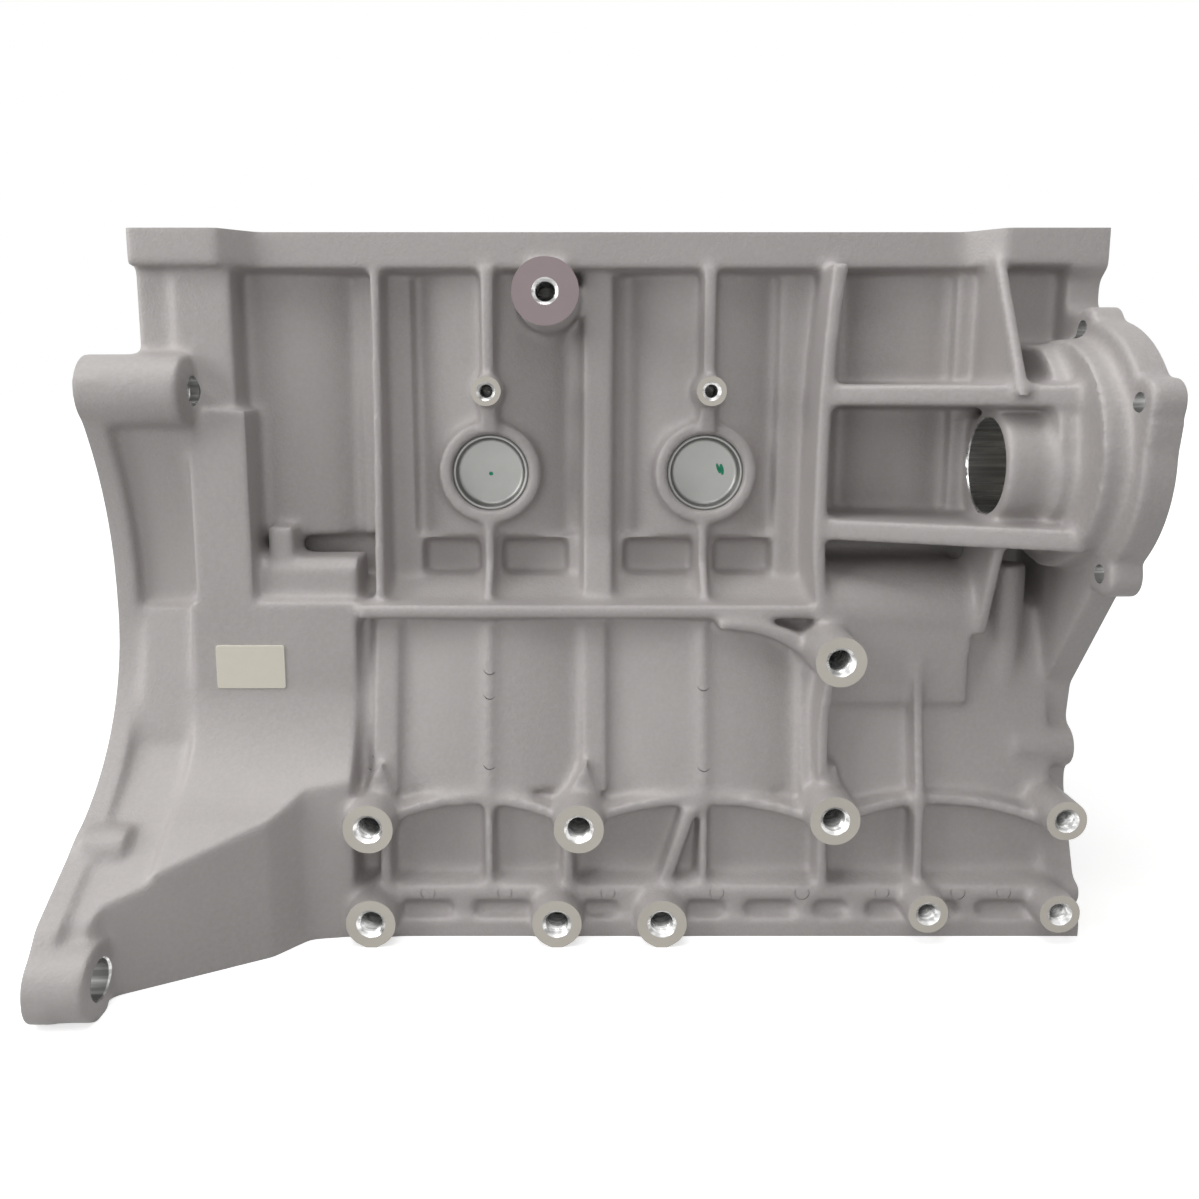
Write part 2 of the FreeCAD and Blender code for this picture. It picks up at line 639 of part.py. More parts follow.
def end_holes():
    """Pump cavity, coolant inlet, rear seal opening and flange holes."""
    front = front_face_x + 1.0
    rear = rear_face_x - 1.0
    cutters = [rod_x(inlet_y, inlet_z, inlet_radius, inlet_mouth_x - 1.0, inlet_mouth_x + inlet_depth)]
    cutters.append(rod_x(pump_y, pump_z, pump_cavity_radius, front_face_x - pump_cavity_depth, front))
    cutters += [rod_x(y, z, pump_hole, front_face_x - pump_flange - 1.0, front) for y, z in pump_ears]
    cutters.append(rod_x(upper_ear_y, upper_ear_z, upper_ear_hole, rear, rear_face_x + upper_ear_length + 1.0))
    cutters.append(rod_x(lower_ear_y, lower_ear_z, lower_ear_hole, rear, rear_face_x + lower_ear_length + 1.0))
    cutters.append(rod_x(far_ear_y, upper_ear_z, upper_ear_hole, rear, rear_face_x + bell_flange + 1.0))
    cutters.append(rod_x(far_foot_y, lower_ear_z, lower_ear_hole, rear, rear_face_x + bell_flange + 1.0))
    cutters.append(rod_x(0.0, 0.0, seal_radius, rear, rear_face_x + seal_depth))
    cutters.append(rod_y(filter_x, filter_z, filter_port, bay_rail_y, filter_face_y + 1.0))
    return cutters


def bearing_tunnel():
    """Line-bored saddles and the seats of the caps, open at the sump face."""
    seat = box(rear_face_x - 1.0, front_face_x + 1.0, -cap_half_width, cap_half_width, -rail_drop - 1.0, 0.0)
    return [seat, rod_x(0.0, 0.0, main_radius, rear_face_x - 1.0, front_face_x + 1.0)]


def casting():
    """The whole aluminium casting, machined."""
    solids = [cylinder_case(), crankcase(), shelf(), window_wall(), bell_plate(), bell_side()]
    solids += pan_rail() + end_walls() + case_ribs() + plug_bosses() + crankcase_bulges()
    solids += crankcase_ribs() + arched_ledges() + near_bosses() + pump_mount() + inlet_braces()
    solids += front_side() + bell_ears() + rear_side() + manifold_side()
    body = deck().multiFuse(solids)
    cutters = bays() + deck_holes() + near_holes() + end_holes() + bearing_tunnel() + [foot_pocket()]
    below = box(rear_face_x - 1.0, front_face_x + 1.0, -200.0, 200.0, -rail_drop - 20.0, -rail_drop)
    return body.cut(below.multiFuse(cutters)).removeSplitter()


# ---- separate pieces -----------------------------------------------------------------------------------------------------------------
def liner(x):
    """Cast-in iron cylinder liner."""
    bore = rod_z(x, 0.0, bore_radius, liner_foot - 1.0, deck_height + 1.0)
    return rod_z(x, 0.0, liner_radius, liner_foot, deck_height).cut(bore)


def hexagon(x, y, radius):
    """Corners of a six-sided head in plan."""
    half = radius / 2.0
    flat = radius * 0.75 ** 0.5
    return [(x + radius, y), (x + half, y + flat), (x - half, y + flat), (x - radius, y), (x - half, y - flat),
            (x + half, y - flat)]


def main_cap(x):
    """Bearing cap with its half of the bore and the heads of its two bolts."""
    half = cap_thickness / 2.0
    outline = [(-cap_half_width, 0.0), (-cap_half_width, -cap_shoulder), (-cap_crown, -cap_shoulder)]
    outline += [(-cap_crown + 8.0, -cap_height), (cap_crown - 8.0, -cap_height), (cap_crown, -cap_shoulder)]
    outline += [(cap_half_width, -cap_shoulder), (cap_half_width, 0.0)]
    cap = prism_x(x - half, x + half, outline)
    heads = [prism_z(-cap_shoulder - cap_head_height, -cap_shoulder, hexagon(x, y, cap_head_radius))
             for y in (-cap_bolt_y, cap_bolt_y)]
    return cap.multiFuse(heads).cut(rod_x(0.0, 0.0, main_radius, x - half - 1.0, x + half + 1.0))


def core_plug(x):
    """Pressed cup plug in the jacket wall, open side outwards."""
    outer = -plug_ring_y + plug_recess
    cup = rod_y(x, plug_z, plug_radius, outer, outer + plug_depth)
    return cup.cut(rod_y(x, plug_z, plug_radius - plug_sheet, outer - 1.0, outer + plug_depth - plug_sheet))


def blank_label():
    """Plain adhesive pad on the gearbox-end wall."""
    return box(label_x, label_x + label_width, -pad_y - label_sheet, -pad_y, label_z, label_z + label_height)


def build():
    os.makedirs("parts", exist_ok=True)
    nodes = {"block_casting": casting(), "blank_label": blank_label()}
    nodes["cylinder_liners"] = Part.makeCompound([liner(x) for x in cylinder_centres()])
    for number, x in enumerate(main_centres(), 1):
        nodes["main_cap_%d" % number] = main_cap(x)
    nodes["core_plugs"] = Part.makeCompound([core_plug(x) for x in (-plug_x, plug_x)])
    for name, shape in nodes.items():
        shape.exportStep("parts/%s.step" % name)


build()
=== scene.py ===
"""Look of a bare four-cylinder engine block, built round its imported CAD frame."""
import json
import math

import bmesh
import bpy
import numpy as np
from bpy.props import (
    FloatProperty,
    FloatVectorProperty,
    IntProperty,
    PointerProperty,
)
from bpy.types import Operator, Panel, PropertyGroup
from mathutils import Matrix, Vector
from mathutils.bvhtree import BVHTree


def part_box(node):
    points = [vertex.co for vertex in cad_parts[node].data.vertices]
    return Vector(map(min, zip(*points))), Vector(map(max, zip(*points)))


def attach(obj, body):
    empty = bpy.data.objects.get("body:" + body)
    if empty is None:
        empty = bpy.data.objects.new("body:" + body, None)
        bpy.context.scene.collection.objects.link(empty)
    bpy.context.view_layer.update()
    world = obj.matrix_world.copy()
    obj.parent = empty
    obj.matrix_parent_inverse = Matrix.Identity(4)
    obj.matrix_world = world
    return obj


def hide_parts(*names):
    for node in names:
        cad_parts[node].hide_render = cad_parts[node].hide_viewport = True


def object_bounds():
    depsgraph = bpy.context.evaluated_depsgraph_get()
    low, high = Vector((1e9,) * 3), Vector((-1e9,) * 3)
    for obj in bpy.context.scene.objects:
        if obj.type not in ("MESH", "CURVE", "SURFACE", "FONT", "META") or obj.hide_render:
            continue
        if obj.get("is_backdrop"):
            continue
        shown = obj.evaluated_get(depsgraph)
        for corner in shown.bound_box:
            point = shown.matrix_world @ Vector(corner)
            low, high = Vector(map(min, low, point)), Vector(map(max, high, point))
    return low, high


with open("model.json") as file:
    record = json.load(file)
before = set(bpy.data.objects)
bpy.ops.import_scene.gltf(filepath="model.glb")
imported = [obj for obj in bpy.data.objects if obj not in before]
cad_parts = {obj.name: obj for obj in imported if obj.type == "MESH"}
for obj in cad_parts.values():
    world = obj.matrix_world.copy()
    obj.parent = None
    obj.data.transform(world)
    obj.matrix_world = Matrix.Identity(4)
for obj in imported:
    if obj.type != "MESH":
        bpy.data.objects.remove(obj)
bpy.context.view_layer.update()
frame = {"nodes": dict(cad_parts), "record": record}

bl_info = {
    "name": "Engine block look",
    "version": (1, 0, 0),
    "blender": (4, 5, 0),
    "location": "3D View > Sidebar > Block",
    "description": "Builds the cast, machined and fitted surfaces of a bare engine block",
    "category": "Object",
}

MM = 0.001
MOUNTS = {entry["name"]: entry for entry in frame["record"]["mounts"]}

LINE_BORE = MOUNTS["main_bearing_bore"]["dims"]["r_mm"] * MM
SEAL_BORE = 40.0 * MM       # radius of the rear seal's step
SEAL_STEP = 9.0 * MM        # how far that step reaches in
CAP_SEAT = 44.0 * MM        # half width of the bearing caps' seat
SCREW_HOLE = 8.0 * MM       # holes up to this radius take screws
BOSS_FACE = 10.5 * MM       # machined land round a screw hole
PORT_FACE = 3.0 * MM        # machined land round a wide hole
FACE_DEPTH = 4.0 * MM       # height of what a face cutter clears
RUNOUT = 7.0 * MM           # how far a tap runs on past the ear's far side
SMALL_FLAT = 2e-5           # least area, in square metres, of a flat face with holes
SPARE = 10.0 * MM           # how far a cutter reaches past the casting
ON_LEVEL = 1e-4             # closeness that counts as the same level
ON_WALL = 3e-5              # closeness that counts as on a hole's wall

# Material numbers of a cutter whose first material is plain machined metal.
# Material 1 is machined metal darkened by a painted reflection.
PAINTED_REFLECTION = 1
BORED = 2

# Ejector marks on the near wall: X and Z in millimetres.
EJECTOR_MARKS = [
    (-65.5, -41.0), (-35.9, -41.0), (3.8, -41.0), (45.7, -41.0), (78.5, -41.0), (109.3, -41.0),
    (138.5, -41.0), (156.2, -41.0), (-41.7, 44.6), (-41.7, 35.3), (-41.6, 9.0), (40.7, 38.5),
    (40.7, 8.2), (-88.0, 7.4),
]


# ---- settings ------------------------------------------------------------------------------------
class BlockCastingSettings(PropertyGroup):
    """Sizes of the cast skin and its machined features."""

    grain: FloatProperty(
        name="Grain",
        description="Cell size of the cast skin",
        default=1.1 * MM,
        unit="LENGTH",
    )
    grain_quick: FloatProperty(
        name="Quick grain",
        description="Cell size while trying things",
        default=1.6 * MM,
        unit="LENGTH",
    )
    fillet_steps: IntProperty(
        name="Fillet steps",
        description="Smoothing steps of inner corners",
        default=26,
    )
    edge_steps: IntProperty(
        name="Edge steps",
        description="Smoothing steps of outer edges",
        default=6,
    )
    keep: FloatProperty(
        name="Keep",
        description="Share of the skin's triangles kept",
        default=0.40,
        subtype="FACTOR",
    )
    stock: FloatProperty(
        name="Stock",
        description="Material left on machined faces before they are cut",
        default=2.5 * MM,
        unit="LENGTH",
    )
    band: IntProperty(
        name="Band size",
        description="Most triangles in one piece of the casting",
        default=170000,
    )
    thread_pitch: FloatProperty(
        name="Thread pitch",
        description="Pitch of a tapped hole of no width",
        default=0.3 * MM,
        unit="LENGTH",
    )
    thread_growth: FloatProperty(
        name="Thread growth",
        description="Pitch added for each unit of the hole's radius",
        default=0.28,
    )
    thread_coarse: FloatProperty(
        name="Coarsest thread",
        description="Pitch of the widest tapped holes",
        default=1.25 * MM,
        unit="LENGTH",
    )
    thread_depth: FloatProperty(
        name="Thread depth",
        description="Depth of the thread grooves, as a share of the pitch",
        default=0.54,
        subtype="FACTOR",
    )
    # Boss faces above this height get a painted dark reflection.
    painted_reflection_above: FloatProperty(
        name="Dull above",
        description="Height above which a boss face is darker",
        default=165.0 * MM,
        unit="LENGTH",
    )
    mark_radius: FloatProperty(
        name="Ejector mark",
        description="Radius of the ejector marks",
        default=2.9 * MM,
        unit="LENGTH",
    )
    countersink: FloatProperty(
        name="Countersink",
        description="Chamfer at the mouth of each tapped hole",
        default=0.5 * MM,
        unit="LENGTH",
    )


class BlockPieceSettings(PropertyGroup):
    """Sizes of the liners, caps, plugs and pad."""

    liner_chamfer: FloatProperty(
        name="Liner chamfer",
        description="Lead-in at the top of each bore",
        default=0.6 * MM,
        unit="LENGTH",
    )
    liner_wall: FloatProperty(
        name="Liner wall",
        description="Thickness of the liners",
        default=2.5 * MM,
        unit="LENGTH",
    )
    cap_bevel: FloatProperty(
        name="Cap bevel",
        description="Rounding of the bearing caps",
        default=0.7 * MM,
        unit="LENGTH",
    )
    plug_wall: FloatProperty(
        name="Plug wall",
        description="Sheet thickness of the core plugs",
        default=1.6 * MM,
        unit="LENGTH",
    )
    label_round: FloatProperty(
        name="Pad rounding",
        description="Corner rounding of the blank pad",
        default=0.9 * MM,
        unit="LENGTH",
    )


class BlockFinishSettings(PropertyGroup):
    """Colours and roughness of the materials."""

    cast: FloatVectorProperty(
        name="Cast",
        description="Sand-cast aluminium",
        subtype="COLOR",
        size=3,
        default=(0.425, 0.402, 0.394),
    )
    cast_metal: FloatProperty(
        name="Cast metallic",
        description="How metallic the blasted skin looks",
        default=0.15,
        subtype="FACTOR",
    )
    cast_roughness: FloatProperty(
        name="Cast roughness",
        description="Roughness of the cast skin",
        default=0.52,
        subtype="FACTOR",
    )
    machined: FloatVectorProperty(
        name="Machined",
        description="Cut aluminium",
        subtype="COLOR",
        size=3,
        default=(0.32, 0.302, 0.27),
    )
    # Bright end of the painted glints in bores; their painted shade is 0.42 of it.
    bore: FloatVectorProperty(
        name="Bore",
        description="Bored and tapped aluminium",
        subtype="COLOR",
        size=3,
        default=(0.86, 0.86, 0.85),
    )
    # Darker, mauve-tinted machined metal: a painted reflection on the highest boss face.
    painted_reflection_colour: FloatVectorProperty(
        name="Painted_reflection",
        description="Cut face of the highest boss",
        subtype="COLOR",
        size=3,
        default=(0.20, 0.165, 0.17),
    )
    iron: FloatVectorProperty(
        name="Iron",
        description="Honed liner iron",
        subtype="COLOR",
        size=3,
        default=(0.30, 0.30, 0.30),
    )
    cap: FloatVectorProperty(
        name="Cap",
        description="Bearing cap iron",
        subtype="COLOR",
        size=3,
        default=(0.11, 0.11, 0.115),
    )
    zinc: FloatVectorProperty(
        name="Zinc",
        description="Plated core plugs",
        subtype="COLOR",
        size=3,
        default=(0.30, 0.30, 0.29),
    )
    pad: FloatVectorProperty(
        name="Pad",
        description="Blank pad",
        subtype="COLOR",
        size=3,
        default=(0.84, 0.80, 0.69),
    )
    paint: FloatVectorProperty(
        name="Paint",
        description="Inspection marks",
        subtype="COLOR",
        size=3,
        default=(0.0, 0.22, 0.11),
    )


class BlockStageSettings(PropertyGroup):
    """Camera, floor and lights."""

    lens: FloatProperty(name="Lens", description="Focal length in millimetres", default=30.02)
    tilt: FloatProperty(
        name="Tilt",
        description="Downward tilt of the camera",
        default=math.radians(8.5),
        subtype="ANGLE",
    )
    camera: FloatVectorProperty(
        name="Camera",
        description="Camera position",
        subtype="TRANSLATION",
        size=3,
        default=(-0.007, -0.4505, 0.1504),
    )
    shift: FloatVectorProperty(
        name="Shift",
        description="Lens shift",
        size=2,
        default=(0.0163, -0.05),
    )
    floor: FloatVectorProperty(
        name="Floor",
        description="Floor colour",
        subtype="COLOR",
        size=3,
        default=(0.86, 0.86, 0.86),
    )
    floor_glow: FloatProperty(
        name="Floor glow",
        description="Evens out the floor towards white",
        default=0.60,
    )
    floor_bounce: FloatProperty(
        name="Floor bounce",
        description="Share of the light that the floor throws back",
        default=0.35,
        subtype="FACTOR",
    )
    sky: FloatProperty(name="Sky", description="Brightness of the surrounding light", default=0.25)
    top: FloatProperty(name="Top light", description="Power of the light above", default=6.8)
    front: FloatProperty(name="Front light", description="Power of the light in front", default=1.2)
    side: FloatProperty(
        name="Side light",
        description="Power of the light on the left",
        default=8.2,
    )


# ---- shader helpers ------------------------------------------------------------------------------
class Value:
    """A shader value that takes ordinary arithmetic."""

    def __init__(self, graph, socket):
        self.graph = graph
        self.socket = socket

    def _math(self, operation, first, second):
        return self.graph.math(operation, first, second)

    def __add__(self, other):
        return self._math("ADD", self, other)

    def __radd__(self, other):
        return self._math("ADD", other, self)

    def __sub__(self, other):
        return self._math("SUBTRACT", self, other)

    def __rsub__(self, other):
        return self._math("SUBTRACT", other, self)

    def __mul__(self, other):
        return self._math("MULTIPLY", self, other)

    def __rmul__(self, other):
        return self._math("MULTIPLY", other, self)


class Graph:
    """One material's node tree."""

    def __init__(self, name):
        self.material = bpy.data.materials.new(name)
        self.material.use_nodes = True
        self.tree = self.material.node_tree
        self.tree.nodes.clear()
        self.output = self.tree.nodes.new("ShaderNodeOutputMaterial")
        self.shader = self.tree.nodes.new("ShaderNodeBsdfPrincipled")
        self.tree.links.new(self.shader.outputs[0], self.output.inputs["Surface"])

    def put(self, socket, value):
        if isinstance(value, Value):
            self.tree.links.new(value.socket, socket)
        elif value is not None:
            socket.default_value = value

    def node(self, kind, settings=None, inputs=None, output=0):
        """Adds a node of any type and returns one of its outputs."""
        made = self.tree.nodes.new(kind)
        for key, value in (settings or {}).items():
            setattr(made, key, value)
        for key, value in (inputs or {}).items():
            self.put(made.inputs[key], value)
        return Value(self, made.outputs[output])

    def math(self, operation, first, second):
        return self.node("ShaderNodeMath", {"operation": operation}, {0: first, 1: second})

    def mix(self, factor, first, second):
        """Blend of two colours."""
        return self.node("ShaderNodeMix", {"data_type": "RGBA"}, {0: factor, 6: first, 7: second}, output=2)

    def place(self):
        """Position in metres in the block's own frame."""
        return self.node("ShaderNodeTexCoord", output="Object")

    def noise(self, scale, detail=2.0, place=None):
        inputs = {"Vector": place or self.place(), "Scale": scale, "Detail": detail}
        return self.node("ShaderNodeTexNoise", {}, inputs, output="Fac")

    def ramp(self, value, low, high):
        """Value from 0 to 1 between low and high."""
        inputs = {"Value": value, "From Min": low, "From Max": high}
        return self.node("ShaderNodeMapRange", {"clamp": True}, inputs)

    def bump(self, height, strength, distance):
        inputs = {"Height": height, "Strength": strength, "Distance": distance}
        return self.node("ShaderNodeBump", {}, inputs)

    def surface(self, **inputs):
        for key, value in inputs.items():
            self.put(self.shader.inputs[key.replace("_", " ")], value)
        return self.material


def rgba(colour, gain=1.0):
    return (colour[0] * gain, colour[1] * gain, colour[2] * gain, 1.0)


# ---- materials -----------------------------------------------------------------------------------
def cast_material(finish):
    """Blasted sand-cast skin: fine grain, soft mottling."""
    g = Graph("cast_aluminium")
    mottle = g.ramp(g.noise(26.0, 3.0), 0.3, 0.7)
    speck = g.ramp(g.noise(620.0, 2.0), 0.35, 0.75)
    colour = g.mix(mottle, rgba(finish.cast, 0.95), rgba(finish.cast, 1.04))
    colour = g.mix(speck * 0.5, colour, rgba(finish.cast, 1.16))
    height = g.noise(1100.0, 2.0) * 0.7 + g.noise(300.0, 2.0) * 0.6
    return g.surface(
        Base_Color=colour,
        Metallic=finish.cast_metal,
        Roughness=finish.cast_roughness + speck * 0.06,
        Normal=g.bump(height, 0.5, 0.0004),
    )


def machined_material(name, tone):
    """Milled aluminium with faint marks."""
    g = Graph(name)
    along = g.node("ShaderNodeMapping", {}, {"Vector": g.place(), "Scale": (40.0, 900.0, 900.0)})
    streak = g.noise(1.0, 2.0, along)
    cloud = g.ramp(g.noise(45.0, 3.0), 0.3, 0.7)
    return g.surface(
        Base_Color=g.mix(cloud, rgba(tone, 0.95), rgba(tone, 1.05)),
        Metallic=1.0,
        Roughness=0.28 + streak * 0.1,
        Normal=g.bump(streak, 0.1, 0.0001),
    )


def bore_material(finish):
    """Bored or tapped aluminium with painted glints: bright bands and darker bands of painted shade along
    the block.
    """
    g = Graph("bored_aluminium")
    along = g.node("ShaderNodeMapping", {}, {"Vector": g.place(), "Scale": (14.0, 420.0, 420.0)})
    # Painted glints: the bright bands are painted highlights, the dark bands painted shade.
    bands = g.ramp(g.noise(1.0, 2.0, along), 0.38, 0.62)
    return g.surface(
        Base_Color=g.mix(bands, rgba(finish.bore), rgba(finish.bore, 0.42)),
        Metallic=1.0,
        Roughness=0.26 + bands * 0.1,
        Normal=g.bump(bands, 0.12, 0.0001),
    )


def iron_material(finish):
    """Honed grey iron with fine crossing scratches."""
    g = Graph("liner_iron")
    turn = {"Vector": g.place(), "Rotation": (0.5, 0.5, 0.0), "Scale": (60.0, 60.0, 1800.0)}
    scratch = g.noise(1.0, 2.0, g.node("ShaderNodeMapping", {}, turn))
    return g.surface(
        Base_Color=g.mix(scratch, rgba(finish.iron, 0.8), rgba(finish.iron, 1.3)),
        Metallic=1.0,
        Roughness=0.28 + scratch * 0.12,
        Normal=g.bump(scratch, 0.2, 0.00008),
    )


def cap_material(finish):
    """Cast-iron bearing caps."""
    g = Graph("cap_iron")
    grain = g.noise(500.0, 3.0)
    return g.surface(
        Base_Color=g.mix(grain, rgba(finish.cap, 0.8), rgba(finish.cap, 1.3)),
        Metallic=0.85,
        Roughness=0.45 + grain * 0.15,
        Normal=g.bump(grain, 0.3, 0.0003),
    )


def zinc_material(finish):
    """Plated sheet steel."""
    g = Graph("plug_zinc")
    cloud = g.noise(120.0, 3.0)
    return g.surface(
        Base_Color=g.mix(cloud, rgba(finish.zinc, 0.88), rgba(finish.zinc, 1.1)),
        Metallic=0.9,
        Roughness=0.32 + cloud * 0.16,
        Normal=g.bump(cloud, 0.1, 0.0003),
    )


def pad_material(finish):
    """Matte off-white film."""
    g = Graph("label_white")
    fibre = g.noise(300.0, 3.0)
    return g.surface(
        Base_Color=g.mix(fibre, rgba(finish.pad, 0.97), rgba(finish.pad, 1.02)),
        Roughness=0.62,
        Normal=g.bump(fibre, 0.08, 0.0002),
    )


def paint_material(finish):
    g = Graph("marking_paint")
    wear = g.noise(900.0, 2.0)
    colour = g.mix(wear, rgba(finish.paint, 0.7), rgba(finish.paint, 1.5))
    return g.surface(Base_Color=colour, Roughness=0.5)


def shown(tree):
    """Socket that is 1 for rays from the camera, mirror rays and rays through glass."""
    rays = tree.nodes.new("ShaderNodeLightPath")
    total = rays.outputs["Is Camera Ray"]
    for name in ("Is Glossy Ray", "Is Transmission Ray"):
        either = tree.nodes.new("ShaderNodeMath")
        either.operation = "MAXIMUM"
        tree.links.new(total, either.inputs[0])
        tree.links.new(rays.outputs[name], either.inputs[1])
        total = either.outputs[0]
    return total


def blended(tree, plain, bright, output):
    """Bright shader where it is seen, plain shader where it only lights things."""
    blend = tree.nodes.new("ShaderNodeMixShader")
    tree.links.new(shown(tree), blend.inputs["Fac"])
    tree.links.new(plain.outputs[0], blend.inputs[1])
    tree.links.new(bright.outputs[0], blend.inputs[2])
    tree.links.new(blend.outputs[0], output.inputs["Surface"])


def floor_material(stage):
    """Pale floor, white far away, that throws little light back on the block."""
    g = Graph("floor")
    distance = g.node("ShaderNodeVectorMath", {"operation": "LENGTH"}, {0: g.place()}, output="Value")
    far = g.ramp(distance, 0.45, 1.1)
    glow = (stage.floor_glow, stage.floor_glow, stage.floor_glow, 1.0)
    g.surface(
        Base_Color=rgba(stage.floor),
        Roughness=0.8,
        Emission_Color=g.mix(far, glow, (1.0, 1.0, 1.0, 1.0)),
        Emission_Strength=1.0,
    )
    plain = g.tree.nodes.new("ShaderNodeBsdfDiffuse")
    plain.inputs["Color"].default_value = rgba(stage.floor, stage.floor_bounce)
    blended(g.tree, plain, g.shader, g.output)
    return g.material


# ---- mesh helpers --------------------------------------------------------------------------------
def add_object(name, mesh, material=None):
    """New object at the origin of the frame."""
    made = bpy.data.objects.new(name, mesh)
    bpy.context.scene.collection.objects.link(made)
    if material:
        made.data.materials.append(material)
    return made


def fit(piece, slot, *nodes):
    """Ties a piece to the frame: its body and the CAD nodes it stands for, which it hides. The slot is not
    used.
    """
    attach(piece, "root")
    if nodes:
        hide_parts(*nodes)
    return piece


def frame_axes(axis):
    """Two directions across a unit axis."""
    side = Vector((0.0, 0.0, 1.0)) if abs(axis.z) < 0.9 else Vector((1.0, 0.0, 0.0))
    first = axis.cross(side).normalized()
    return first, axis.cross(first)


def lathe(bm, origin, axis, profile, steps=48):
    """Turned solid from (radius, distance along axis); a radius of 0 at an end caps it flat."""
    first, second = frame_axes(axis)
    turns = [(math.cos(math.tau * n / steps), math.sin(math.tau * n / steps)) for n in range(steps)]
    rings = []
    for radius, along in profile:
        centre = origin + axis * along
        if radius:
            rings.append([bm.verts.new(centre + (first * c + second * s) * radius) for c, s in turns])
        else:
            rings.append([])
    for below, above in zip(rings[:-1], rings[1:]):
        if not below or not above:
            bm.faces.new(below or above)
            continue
        for index in range(steps):
            following = (index + 1) % steps
            bm.faces.new((below[index], below[following], above[following], above[index]))


def paint_faces(bm, known, index):
    """Gives the faces after the known ones a material number; steps across X stay plain."""
    bm.faces.ensure_lookup_table()
    for number in range(known, len(bm.faces)):
        face = bm.faces[number]
        face.normal_update()
        if index != BORED or abs(face.normal.x) < 0.9:
            face.material_index = index


def block(bm, low, high):
    """Closed box between two corners."""
    size = high - low
    matrix = Matrix.Translation((low + high) / 2.0) @ Matrix.Diagonal((size.x, size.y, size.z, 1.0))
    bmesh.ops.create_cube(bm, size=1.0, matrix=matrix)


def finish_mesh(bm, name):
    """Outward normals, then a mesh datablock."""
    bmesh.ops.recalc_face_normals(bm, faces=bm.faces)
    mesh = bpy.data.meshes.new(name)
    bm.to_mesh(mesh)
    bm.free()
    return mesh


def smooth_by_angle(mesh, degrees=32.0):
    mesh.shade_smooth()
    mesh.set_sharp_from_angle(angle=math.radians(degrees))


def applied(scratch, name):
    """Mesh of an object with its modifiers applied; the object is removed."""
    graph = bpy.context.evaluated_depsgraph_get()
    result = scratch.evaluated_get(graph)
    mesh = bpy.data.meshes.new_from_object(result, preserve_all_data_layers=True, depsgraph=graph)
    mesh.name = name
    old = scratch.data
    bpy.data.objects.remove(scratch)
    bpy.data.meshes.remove(old)
    return mesh


def cut(mesh, cutter_mesh, name):
    """Mesh less the cutter; the cutter's faces keep the cutter's material."""
    body = add_object(name + "_body", mesh)
    tool = add_object(name + "_tool", cutter_mesh)
    tool.hide_render = True
    modifier = body.modifiers.new("cut", "BOOLEAN")
    modifier.operation = "DIFFERENCE"
    modifier.solver = "MANIFOLD"
    modifier.object = tool
    modifier.material_mode = "TRANSFER"
    made = applied(body, name)
    old = tool.data
    bpy.data.objects.remove(tool)
    bpy.data.meshes.remove(old)
    return made


# ---- reading the CAD casting ---------------------------------------------------------------------
class Hole:
    """A round hole opening on a flat face: centre of the mouth, outward axis, radius and depth."""

    def __init__(self, centre, axis, radius, depth):
        self.centre = centre
        self.axis = axis
        self.radius = radius
        self.depth = depth


def circle_through(points):
    """Least-squares circle of plane points: centre, radius and worst error."""
    rows = np.column_stack([2.0 * points, np.ones(len(points))])
    answer, _, _, _ = np.linalg.lstsq(rows, (points ** 2).sum(axis=1), rcond=None)
    centre = answer[:2]
    radius = math.sqrt(max(answer[2] + centre @ centre, 0.0))
    error = np.abs(np.linalg.norm(points - centre, axis=1) - radius).max()
    return centre, radius, error


def edge_groups(edges):
    """Edges joined end to end, as lists."""
    by_vertex = {}
    for edge in edges:
        for vertex in edge.verts:
            by_vertex.setdefault(vertex, []).append(edge)
    groups = []
    seen = set()
    for edge in edges:
        if edge in seen:
            continue
        group = []
        waiting = [edge]
        seen.add(edge)
        while waiting:
            current = waiting.pop()
            group.append(current)
            for vertex in current.verts:
                for other in by_vertex[vertex]:
                    if other not in seen:
                        seen.add(other)
                        waiting.append(other)
        groups.append(group)
    return groups


def wall_depth(depths, ring_size):
    """Distance to the nearest further ring of wall vertices, or None if there is none."""
    levels, counts = np.unique(np.round(depths, 5), return_counts=True)
    deeper = [level for level, count in zip(levels, counts) if level > 1.0 * MM and count > ring_size * 0.6]
    return min(deeper) if deeper else None


